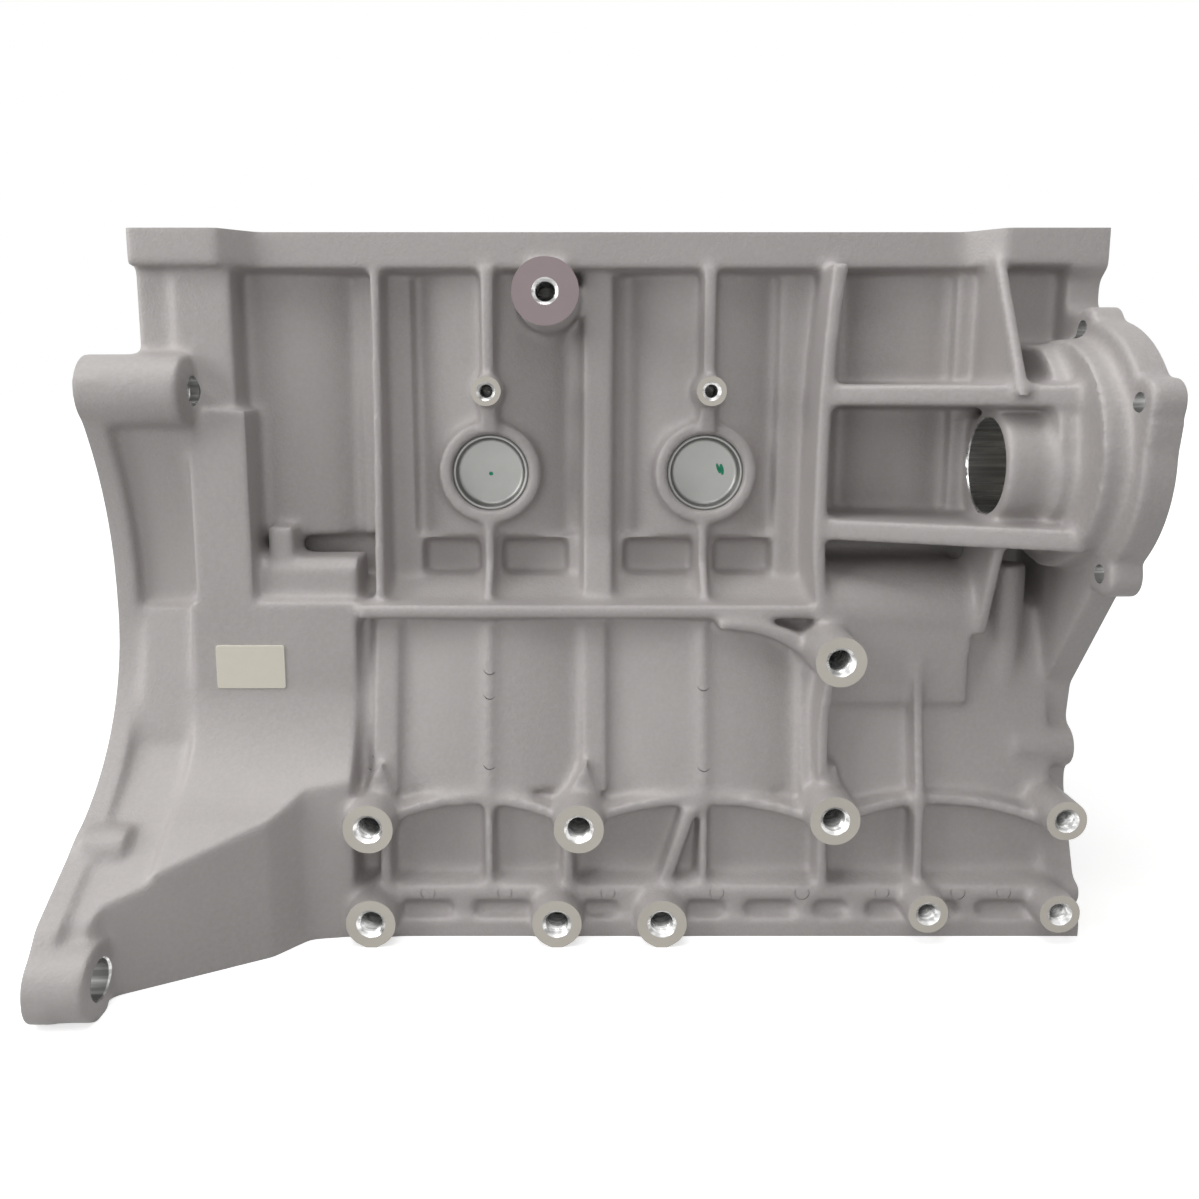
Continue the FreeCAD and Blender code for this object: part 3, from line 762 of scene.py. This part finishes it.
def holes_in_face(bm, places, axis_index, side, level):
    """Round holes whose mouths lie in the plane at level across an axis."""
    across = [index for index in range(3) if index != axis_index]
    rims = []
    for edge in bm.edges:
        if len(edge.link_faces) != 2 or any(abs(v.co[axis_index] - level) > 1e-5 for v in edge.verts):
            continue
        turned = sorted(abs(f.normal[axis_index]) for f in edge.link_faces)
        if turned[0] < 0.05 and turned[1] > 0.99:
            rims.append(edge)
    found = []
    for group in edge_groups(rims):
        vertices = list(dict.fromkeys(v for edge in group for v in edge.verts))
        if len(vertices) < 12 or len(vertices) != len(group):
            continue
        points = np.array([[v.co[i] for i in across] for v in vertices])
        centre, radius, error = circle_through(points)
        if error > 2e-5:
            continue
        wall = min(group[0].link_faces, key=lambda f: abs(f.normal[axis_index]))
        middle = np.array([(group[0].verts[0].co[i] + group[0].verts[1].co[i]) / 2.0 for i in across])
        inward = sum(wall.normal[i] * (centre - middle)[n] for n, i in enumerate(across))
        if inward <= 0.0:
            continue
        radial = np.linalg.norm(places[:, across] - centre, axis=1)
        on_wall = np.abs(radial - radius) < 2e-5
        depth = wall_depth(side * (level - places[on_wall, axis_index]), len(vertices))
        if depth is None:
            continue
        place = [0.0, 0.0, 0.0]
        place[axis_index] = level
        place[across[0]], place[across[1]] = centre
        axis = Vector((0.0, 0.0, 0.0))
        axis[axis_index] = side
        found.append(Hole(Vector(place), axis, radius, depth))
    return found


def same_hole(first, second):
    """True if two finds are the two mouths of one hole, or one find made twice."""
    if abs(first.axis.dot(second.axis)) < 0.99 or abs(first.radius - second.radius) > 1e-5:
        return False
    offset = second.centre - first.centre
    along = offset.dot(first.axis)
    return (offset - first.axis * along).length < 1e-5 and -first.depth - 1e-4 < along < 1e-4


def flat_levels(bm, axis_index, side, area_needed):
    """Positions of the faces across an axis that hold at least some area."""
    areas = {}
    for piece in bm.faces:
        if piece.normal[axis_index] * side > 0.999:
            level = round(piece.verts[0].co[axis_index], 6)
            areas[level] = areas.get(level, 0.0) + piece.calc_area()
    return [level for level, area in areas.items() if area >= area_needed]


# ---- casting -------------------------------------------------------------------------------------
def push_stock(bm, holes, planes, stock):
    """Leaves stock on machined planes and holes, so that they can be cut crisply after smoothing."""
    for vertex in bm.verts:
        co = vertex.co
        for hole in holes:
            offset = co - hole.centre
            along = offset.dot(hole.axis)
            radial = offset - hole.axis * along
            distance = radial.length
            if abs(distance - hole.radius) < ON_WALL and -hole.depth - 1e-5 < along < 1e-5:
                target = max(hole.radius - stock, hole.radius * 0.4)
                vertex.co = co - radial * (1.0 - target / distance)
                break
    for vertex in bm.verts:
        for axis_index, side, level, reach in planes:
            if abs(vertex.co[axis_index] - level) < 1e-5 and reach(vertex.co):
                vertex.co[axis_index] += side * stock


def relax(mesh, fillet_steps, edge_steps):
    """Rounds inner corners well and outer edges a little, as in a sand casting."""
    count = len(mesh.vertices)
    co = np.empty(count * 3)
    mesh.vertices.foreach_get("co", co)
    co = co.reshape(-1, 3)
    pairs = np.empty(len(mesh.edges) * 2, np.int64)
    mesh.edges.foreach_get("vertices", pairs)
    pairs = pairs.reshape(-1, 2)
    first, second = pairs[:, 0], pairs[:, 1]
    degree = np.bincount(pairs.ravel(), minlength=count).astype(float)[:, None]
    normals = np.empty(count * 3)
    for step in range(fillet_steps):
        if step % 6 == 0:
            mesh.vertices.foreach_set("co", co.ravel())
            mesh.update()
            mesh.vertex_normals.foreach_get("vector", normals)
            facing = normals.reshape(-1, 3)
        total = np.empty_like(co)
        for index in range(3):
            total[:, index] = np.bincount(first, co[second, index], count)
            total[:, index] += np.bincount(second, co[first, index], count)
        move = total / degree - co
        inner = (move * facing).sum(axis=1) > 0.0
        outer_gain = 0.5 if step < edge_steps else 0.04
        co += move * np.where(inner, 0.5, outer_gain)[:, None]
    mesh.vertices.foreach_set("co", co.ravel())
    mesh.update()


def hole_profile(hole, settings, threaded):
    """Half section of a drilled hole: countersink, thread and drill point."""
    over = 0.3 * MM if abs(hole.axis.x) > 0.5 else 1.0 * MM
    if not threaded:
        through = 4.0 * MM if abs(hole.axis.x) > 0.5 and hole.radius < SCREW_HOLE else 0.0
        return [(0.0, over), (hole.radius + 0.5 * MM + over, over), (hole.radius, -0.5 * MM),
                (hole.radius, -hole.depth - through), (0.0, -hole.depth - through)]
    pitch = min(settings.thread_pitch + settings.thread_growth * hole.radius, settings.thread_coarse)
    groove = pitch * settings.thread_depth
    sink = settings.countersink
    profile = [(0.0, over)]
    if abs(hole.axis.x) > 0.5:
        groove_radius = hole.radius * 0.55
        profile = [(0.0, RUNOUT), (groove_radius, RUNOUT), (groove_radius, over)]
        sink = 0.2 * MM
    profile += [(hole.radius + groove + sink + over, over), (hole.radius + groove, -sink)]
    along = -sink
    while along - pitch > -hole.depth + 3.0 * MM:
        profile += [(hole.radius, along - pitch * 0.5), (hole.radius + groove, along - pitch)]
        along -= pitch
    point = -hole.depth - hole.radius * 0.55
    profile += [(hole.radius, along - pitch * 0.5), (hole.radius, -hole.depth)]
    profile += [(0.2 * MM, point), (0.0, point)]
    return profile


class BLOCK_OT_casting(Operator):
    """Builds the cast skin and cuts its machined faces and holes"""

    bl_idname = "block.casting"
    bl_label = "Casting"

    def execute(self, context):
        settings = context.scene.block_casting
        low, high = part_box("block_casting")
        bm = bmesh.new()
        bm.from_mesh(frame["nodes"]["block_casting"].data)
        bmesh.ops.remove_doubles(bm, verts=bm.verts, dist=1e-6)
        bm.normal_update()
        holes, planes = self.survey(bm)
        self.leave_stock(bm, holes, planes, low, high, settings.stock)
        self.thicken(bm, low)
        skin = self.pour(bm, settings)
        skin = self.machine(skin, holes, planes, low, high, context)
        smooth_by_angle(skin)
        for piece in self.bands(skin, settings.band):
            fit(piece, "cast_aluminium", "block_casting")
        return {"FINISHED"}

    def survey(self, bm):
        """Round holes and the flat faces that they open on."""
        places = np.array([v.co for v in bm.verts])
        holes = []
        planes = []
        for axis_index, side in ((2, 1), (1, -1), (1, 1), (0, 1), (0, -1)):
            for level in flat_levels(bm, axis_index, side, SMALL_FLAT):
                found = holes_in_face(bm, places, axis_index, side, level)
                if found:
                    planes.append((axis_index, side, level))
                holes += [hole for hole in found if not any(same_hole(known, hole) for known in holes)]
        return holes, planes

    def leave_stock(self, bm, holes, planes, low, high, stock):
        """Moves the faces that are cut later outwards, and hole walls inwards."""
        everywhere = lambda co: True
        under_caps = lambda co: abs(co.y) < CAP_SEAT + 0.5 * MM
        pushed = []
        for axis_index, side, level in planes:
            if axis_index or min(abs(level - end) for end in (low.x, high.x)) < ON_LEVEL:
                pushed.append((axis_index, side, level, everywhere))
        pushed.append((2, -1, low.z, everywhere))
        pushed.append((2, -1, 0.0, under_caps))
        push_stock(bm, holes, pushed, stock)
        for vertex in bm.verts:
            distance = math.hypot(vertex.co.y, vertex.co.z)
            for radius in (LINE_BORE, SEAL_BORE):
                if abs(distance - radius) < ON_WALL and vertex.co.z > -3.0 * MM:
                    vertex.co.y *= 1.0 - stock / radius
                    vertex.co.z *= 1.0 - stock / radius

    def pour(self, bm, settings):
        """One closed skin with cast fillets."""
        skin = bpy.data.meshes.new("skin")
        bmesh.ops.triangulate(bm, faces=bm.faces)
        bm.to_mesh(skin)
        bm.free()
        rough = add_object("skin", skin)
        remesh = rough.modifiers.new("remesh", "REMESH")
        remesh.mode = "VOXEL"
        size = settings.grain
        remesh.voxel_size = size
        skin = applied(rough, "skin")
        finer = (settings.grain / size) ** 2
        relax(skin, round(settings.fillet_steps * finer), round(settings.edge_steps * finer))
        rough = add_object("skin", skin)
        thin = rough.modifiers.new("thin", "DECIMATE")
        thin.ratio = settings.keep
        return applied(rough, "skin")

    def machine(self, skin, holes, planes, low, high, context):
        """Cuts the machined faces, the bores, the tapped holes and the ejector marks."""
        settings = context.scene.block_casting
        finish = context.scene.block_finish
        cast = cast_material(finish)
        metals = [
            machined_material("machined_aluminium", finish.machined),
            # a darker copy of machined metal that carries a painted reflection
            machined_material("aluminium_painted_reflection", finish.painted_reflection_colour),
            bore_material(finish),
        ]
        skin.materials.append(cast)
        levels = planes + [(2, -1, low.z)]
        for number, tool in enumerate(self.tools(levels, holes, low, high, settings)):
            for metal in metals:
                tool.materials.append(metal)
            skin = cut(skin, tool, "casting_%d" % number)
        marks = self.marks(skin, settings)
        marks.materials.append(cast)
        skin = cut(skin, marks, "casting")
        self.tidy_planes(skin)
        return skin

    def thicken(self, bm, low):
        """Backs the thin wall of the foot's hollow from inside, so that the skin stays closed."""
        outline = [(-66.0, 30.4), (-98.4, -12.0), (-95.5, -14.5), (-63.0, 28.0)]
        ends = []
        for x in (low.x + 1.0 * MM, low.x + 44.0 * MM):
            ends.append([bm.verts.new((x, y * MM, z * MM)) for y, z in outline])
        bm.faces.new(ends[0])
        bm.faces.new(list(reversed(ends[1])))
        for index in range(4):
            following = (index + 1) % 4
            bm.faces.new((ends[0][following], ends[0][index], ends[1][index], ends[1][following]))

    def tools(self, planes, holes, low, high, settings):
        """Cutter meshes, in the order they are used. The solids of one cutter don't meet."""
        for axis_index in (2, 0):
            slabs = bmesh.new()
            for index, side, level in planes:
                extreme = high[axis_index] if side > 0 else low[axis_index]
                if index != axis_index or abs(level - extreme) > ON_LEVEL:
                    continue
                start = low - Vector((1.0, 1.0, 1.0)) * (2.0 * SPARE)
                end = high + Vector((1.0, 1.0, 1.0)) * (2.0 * SPARE)
                if side > 0:
                    start[axis_index] = level
                else:
                    end[axis_index] = level
                block(slabs, start, end)
            yield finish_mesh(slabs, "plane_tool")
        faces = bmesh.new()
        for hole in holes:
            if abs(hole.axis.y) < 0.5:
                continue
            known = len(faces.faces)
            reach = hole.radius + (PORT_FACE if hole.radius > SCREW_HOLE else BOSS_FACE)
            profile = [(0.0, 0.0), (reach, 0.0), (reach, FACE_DEPTH), (0.0, FACE_DEPTH)]
            lathe(faces, hole.centre, hole.axis, profile, 96)
            # The highest wide boss face gets the painted dark reflection.
            if hole.centre.z > settings.painted_reflection_above and hole.radius > 3.0 * MM:
                paint_faces(faces, known, PAINTED_REFLECTION)
        length = high.x - low.x + 2.0 * SPARE
        step = SPARE + SEAL_STEP
        known = len(faces.faces)
        profile = [(0.0, 0.0), (SEAL_BORE, 0.0), (SEAL_BORE, step), (LINE_BORE, step)]
        profile += [(LINE_BORE, length), (0.0, length)]
        lathe(faces, Vector((low.x - SPARE, 0.0, 0.0)), Vector((1.0, 0.0, 0.0)), profile, 96)
        paint_faces(faces, known, BORED)
        yield finish_mesh(faces, "face_tool")
        seats = bmesh.new()
        seat_low = Vector((low.x - SPARE, -CAP_SEAT, low.z - SPARE))
        block(seats, seat_low, Vector((high.x + SPARE, CAP_SEAT, 0.0)))
        self.drills(seats, [hole for hole in holes if hole.radius > SCREW_HOLE], settings, 96)
        yield finish_mesh(seats, "seat_tool")
        small = bmesh.new()
        self.drills(small, [hole for hole in holes if hole.radius <= SCREW_HOLE], settings, 40)
        yield finish_mesh(small, "drill_tool")

    def marks(self, skin, settings):
        """Shallow ring grooves left by the ejector pins."""
        tree = BVHTree.FromPolygons([v.co for v in skin.vertices], [p.vertices for p in skin.polygons])
        out = Vector((0.0, -1.0, 0.0))
        wide, narrow = settings.mark_radius, settings.mark_radius - 0.45 * MM
        proud, sunk = 1.0 * MM, 0.35 * MM
        rings = bmesh.new()
        for x, z in EJECTOR_MARKS:
            place = tree.ray_cast(Vector((x * MM, -0.3, z * MM)), -out)[0]
            profile = [(wide, proud), (wide, -sunk), (narrow, -sunk), (narrow, proud), (wide, proud)]
            lathe(rings, place, out, profile, 32)
        bmesh.ops.remove_doubles(rings, verts=rings.verts, dist=1e-7)
        return finish_mesh(rings, "mark_tool")

    def drills(self, bm, holes, settings, steps):
        known = len(bm.faces)
        for hole in holes:
            ear = 5.0 * MM < hole.radius < 6.0 * MM and abs(hole.axis.x) > 0.5
            threaded = ear or (hole.radius < SCREW_HOLE and abs(hole.axis.y) > 0.5)
            lathe(bm, hole.centre, hole.axis, hole_profile(hole, settings, threaded), steps)
        paint_faces(bm, known, BORED)

    def tidy_planes(self, mesh):
        """Joins the slivers that the cuts leave on machined faces."""
        bm = bmesh.new()
        bm.from_mesh(mesh)
        inside = lambda part: all(face.material_index > 0 for face in part.link_faces)
        edges = [edge for edge in bm.edges if inside(edge)]
        verts = [vertex for vertex in bm.verts if inside(vertex)]
        bmesh.ops.dissolve_limit(bm, angle_limit=math.radians(0.6), verts=verts, edges=edges)
        bm.to_mesh(mesh)
        bm.free()

    def bands(self, mesh, most):
        """The casting as several pieces along its length, with the shading of one."""
        mesh.calc_loop_triangles()
        count = len(mesh.loop_triangles)
        loops = np.empty(count * 3, np.int64)
        mesh.loop_triangles.foreach_get("loops", loops)
        corners = np.empty(count * 3, np.int64)
        mesh.loop_triangles.foreach_get("vertices", corners)
        materials = np.empty(count, np.int32)
        mesh.loop_triangles.foreach_get("material_index", materials)
        co = np.empty(len(mesh.vertices) * 3)
        mesh.vertices.foreach_get("co", co)
        co = co.reshape(-1, 3)
        normals = np.empty(len(mesh.loops) * 3)
        mesh.corner_normals.foreach_get("vector", normals)
        normals = normals.reshape(-1, 3)[loops].reshape(-1, 3, 3)
        corners = corners.reshape(-1, 3)
        middle = co[corners, 0].mean(axis=1)
        order = np.argsort(middle, kind="stable")
        parts = max(1, math.ceil(count / most))
        for number, chosen in enumerate(np.array_split(order, parts), 1):
            used, index = np.unique(corners[chosen], return_inverse=True)
            piece = bpy.data.meshes.new("casting_band_%d" % number)
            piece.vertices.add(len(used))
            piece.vertices.foreach_set("co", co[used].ravel())
            piece.loops.add(len(chosen) * 3)
            piece.loops.foreach_set("vertex_index", index.ravel().astype(np.int32))
            piece.polygons.add(len(chosen))
            piece.polygons.foreach_set("loop_start", np.arange(0, len(chosen) * 3, 3, dtype=np.int32))
            piece.polygons.foreach_set("material_index", materials[chosen])
            piece.polygons.foreach_set("use_smooth", np.ones(len(chosen), bool))
            piece.update(calc_edges=True)
            for material in mesh.materials:
                piece.materials.append(material)
            piece.normals_split_custom_set(normals[chosen].reshape(-1, 3))
            yield add_object("casting_band_%d" % number, piece)


# ---- fitted pieces -------------------------------------------------------------------------------
class BLOCK_OT_liners(Operator):
    """Builds the four honed liners"""

    bl_idname = "block.liners"
    bl_label = "Liners"

    def execute(self, context):
        pieces = context.scene.block_pieces
        material = iron_material(context.scene.block_finish)
        low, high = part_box("cylinder_liners")
        outer = (high.y - low.y) / 2.0
        inner = outer - pieces.liner_wall
        chamfer = pieces.liner_chamfer
        count = 4
        pitch = (high.x - low.x - 2.0 * outer) / (count - 1)
        height = high.z - low.z
        for number in range(count):
            bm = bmesh.new()
            origin = Vector((low.x + outer + pitch * number, (low.y + high.y) / 2.0, low.z))
            profile = [(inner + chamfer, 0.0), (outer, 0.0), (outer, height)]
            profile += [(inner + chamfer, height), (inner, height - chamfer)]
            profile += [(inner, chamfer), (inner + chamfer, 0.0)]
            lathe(bm, origin, Vector((0.0, 0.0, 1.0)), profile, 128)
            bmesh.ops.remove_doubles(bm, verts=bm.verts, dist=1e-7)
            mesh = finish_mesh(bm, "liner_%d" % (number + 1))
            smooth_by_angle(mesh)
            fit(add_object("liner_%d" % (number + 1), mesh, material), "liner_iron", "cylinder_liners")
        return {"FINISHED"}


class BLOCK_OT_caps(Operator):
    """Builds the bearing caps"""

    bl_idname = "block.caps"
    bl_label = "Bearing caps"

    def execute(self, context):
        pieces = context.scene.block_pieces
        finish = context.scene.block_finish
        material = cap_material(finish)
        for number in range(1, 6):
            name = "main_cap_%d" % number
            source = frame["nodes"][name]
            piece = add_object(name + "_look", source.data.copy())
            piece.data.materials.clear()
            piece.data.materials.append(material)
            bevel = piece.modifiers.new("round", "BEVEL")
            bevel.width = pieces.cap_bevel
            bevel.segments = 2
            bevel.limit_method = "ANGLE"
            fit(piece, "cap_iron", name)
        return {"FINISHED"}


class BLOCK_OT_plugs(Operator):
    """Builds the pressed core plugs and their paint marks"""

    bl_idname = "block.plugs"
    bl_label = "Core plugs"

    def execute(self, context):
        pieces = context.scene.block_pieces
        finish = context.scene.block_finish
        material = zinc_material(finish)
        paint = paint_material(finish)
        low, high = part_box("core_plugs")
        radius = (high.z - low.z) / 2.0
        depth = high.y - low.y
        wall = pieces.plug_wall
        for number, x in enumerate((low.x + radius, high.x - radius), 1):
            bm = bmesh.new()
            origin = Vector((x, low.y, (low.z + high.z) / 2.0))
            lip = wall * 0.5
            profile = [(0.0, depth), (radius - 1.2 * MM, depth), (radius, depth - 1.2 * MM), (radius, lip)]
            inner, floor = radius - wall, depth - wall
            profile += [(radius - lip * 0.3, lip * 0.3), (radius - lip, 0.0)]
            profile += [(inner + lip * 0.3, lip * 0.3), (inner, lip)]
            profile += [(inner - 0.2 * MM, floor - 1.6 * MM), (inner - 0.8 * MM, floor - 0.6 * MM)]
            profile += [(inner - 1.8 * MM, floor), (0.0, floor)]
            lathe(bm, origin, Vector((0.0, 1.0, 0.0)), profile, 96)
            mesh = finish_mesh(bm, "core_plug_%d" % number)
            smooth_by_angle(mesh)
            fit(add_object("core_plug_%d" % number, mesh, material), "plug_zinc", "core_plugs")
            self.marks(number, origin + Vector((0.0, depth - wall - 0.1 * MM, 0.0)), paint)
        return {"FINISHED"}

    def marks(self, number, centre, paint):
        """A dab on the first plug and two strokes on the second."""
        if number == 1:
            strokes = [((-0.9, -0.5), (0.6, -1.0), 0.75)]
        else:
            strokes = [((5.0, 3.2), (6.3, -0.6), 0.6), ((6.6, 3.0), (7.4, -1.2), 0.8)]
        for index, (start, end, width) in enumerate(strokes, 1):
            bm = bmesh.new()
            first = centre + Vector((start[0], 0.0, start[1])) * MM
            last = centre + Vector((end[0], 0.0, end[1])) * MM
            along = (last - first)
            across = Vector((along.z, 0.0, -along.x)).normalized() * (width * MM)
            points = []
            for step in range(7):
                share = step / 6.0
                swell = math.sin(math.pi * (0.15 + 0.7 * share))
                points.append((first + along * share, across * swell))
            left = [bm.verts.new(p + a) for p, a in points]
            right = [bm.verts.new(p - a) for p, a in points]
            for step in range(6):
                bm.faces.new((left[step], left[step + 1], right[step + 1], right[step]))
            mesh = finish_mesh(bm, "paint_mark_%d_%d" % (number, index))
            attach(add_object("paint_mark_%d_%d" % (number, index), mesh, paint), "root")


class BLOCK_OT_pad(Operator):
    """Builds the blank pad with softened corners"""

    bl_idname = "block.pad"
    bl_label = "Blank pad"

    def execute(self, context):
        pieces = context.scene.block_pieces
        low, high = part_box("blank_label")
        bm = bmesh.new()
        block(bm, low, high)
        upright = [e for e in bm.edges if abs(e.verts[0].co.y - e.verts[1].co.y) > 1e-5]
        corner = pieces.label_round
        bmesh.ops.bevel(bm, geom=upright, offset=corner, segments=4, affect="EDGES", profile=0.5)
        front = [e for e in bm.edges if all(abs(v.co.y - low.y) < 1e-6 for v in e.verts)]
        bmesh.ops.bevel(bm, geom=front, offset=0.15 * MM, segments=2, affect="EDGES", profile=0.5)
        mesh = finish_mesh(bm, "blank_pad")
        material = pad_material(context.scene.block_finish)
        fit(add_object("blank_pad", mesh, material), "label_white", "blank_label")
        return {"FINISHED"}


# ---- stage ---------------------------------------------------------------------------------------
class BLOCK_OT_stage(Operator):
    """Sets the camera, floor, background and lights"""

    bl_idname = "block.stage"
    bl_label = "Stage"

    def execute(self, context):
        stage = context.scene.block_stage
        scene = context.scene
        low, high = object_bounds()
        self.camera(scene, stage)
        self.floor(stage, low)
        self.lights(scene, stage, low, high)
        self.world(scene, stage)
        scene.view_settings.view_transform = "Standard"
        return {"FINISHED"}

    def camera(self, scene, stage):
        data = bpy.data.cameras.new("camera")
        data.sensor_width = 36.0
        data.lens = stage.lens
        data.shift_x, data.shift_y = stage.shift
        data.clip_start = 0.01
        made = bpy.data.objects.new("camera", data)
        made.location = stage.camera
        made.rotation_euler = (math.pi / 2.0 - stage.tilt, 0.0, 0.0)
        scene.collection.objects.link(made)
        scene.camera = made

    def floor(self, stage, low):
        bm = bmesh.new()
        bmesh.ops.create_grid(bm, x_segments=1, y_segments=1, size=30.0)
        mesh = bpy.data.meshes.new("floor")
        bm.to_mesh(mesh)
        bm.free()
        made = add_object("floor", mesh, floor_material(stage))
        made.location = (0.0, 0.0, low.z)
        made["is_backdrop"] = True

    def lights(self, scene, stage, low, high):
        centre = (low + high) / 2.0
        lamps = [
            ("top_light", Vector((-0.1, -0.3, 1.1)), 0.8, stage.top),
            ("front_light", Vector((-0.15, -1.2, 0.45)), 1.0, stage.front),
            ("side_light", Vector((-1.1, -0.5, 0.5)), 0.8, stage.side),
        ]
        for name, offset, size, power in lamps:
            data = bpy.data.lights.new(name, "AREA")
            data.shape = "SQUARE"
            data.size = size
            data.energy = power
            made = bpy.data.objects.new(name, data)
            made.location = centre + offset
            made.rotation_euler = (-offset).to_track_quat("-Z", "Y").to_euler()
            scene.collection.objects.link(made)

    def world(self, scene, stage):
        """White where it is seen, soft light otherwise."""
        world = bpy.data.worlds.new("surroundings")
        scene.world = world
        world.use_nodes = True
        tree = world.node_tree
        tree.nodes.clear()
        output = tree.nodes.new("ShaderNodeOutputWorld")
        shaders = []
        for strength in (stage.sky, 1.0):
            shader = tree.nodes.new("ShaderNodeBackground")
            shader.inputs["Color"].default_value = (1.0, 1.0, 1.0, 1.0)
            shader.inputs["Strength"].default_value = strength
            shaders.append(shader)
        blended(tree, shaders[0], shaders[1], output)


class BLOCK_PT_panel(Panel):
    """Buttons and settings of the engine block"""

    bl_idname = "BLOCK_PT_panel"
    bl_label = "Engine block"
    bl_space_type = "VIEW_3D"
    bl_region_type = "UI"
    bl_category = "Block"

    def draw(self, context):
        for name in ("block_casting", "block_pieces", "block_finish", "block_stage"):
            group = getattr(context.scene, name)
            section = self.layout.box()
            for key in group.bl_rna.properties.keys():
                if key not in ("rna_type", "name"):
                    section.prop(group, key)
        for operator in BUTTONS:
            self.layout.operator(operator.bl_idname)


GROUPS = {
    "block_casting": BlockCastingSettings,
    "block_pieces": BlockPieceSettings,
    "block_finish": BlockFinishSettings,
    "block_stage": BlockStageSettings,
}
BUTTONS = (BLOCK_OT_casting, BLOCK_OT_liners, BLOCK_OT_caps, BLOCK_OT_plugs, BLOCK_OT_pad, BLOCK_OT_stage)


def register():
    for group in GROUPS.values():
        bpy.utils.register_class(group)
    for operator in BUTTONS:
        bpy.utils.register_class(operator)
    bpy.utils.register_class(BLOCK_PT_panel)
    for name, group in GROUPS.items():
        setattr(bpy.types.Scene, name, PointerProperty(type=group))


def unregister():
    for name in reversed(list(GROUPS)):
        delattr(bpy.types.Scene, name)
    bpy.utils.unregister_class(BLOCK_PT_panel)
    for operator in reversed(BUTTONS):
        bpy.utils.unregister_class(operator)
    for group in reversed(list(GROUPS.values())):
        bpy.utils.unregister_class(group)


def main():
    """Builds every piece and the stage."""
    register()
    for operator in BUTTONS:
        group, name = operator.bl_idname.split(".")
        getattr(getattr(bpy.ops, group), name)()


if __name__ == "__main__":
    main()
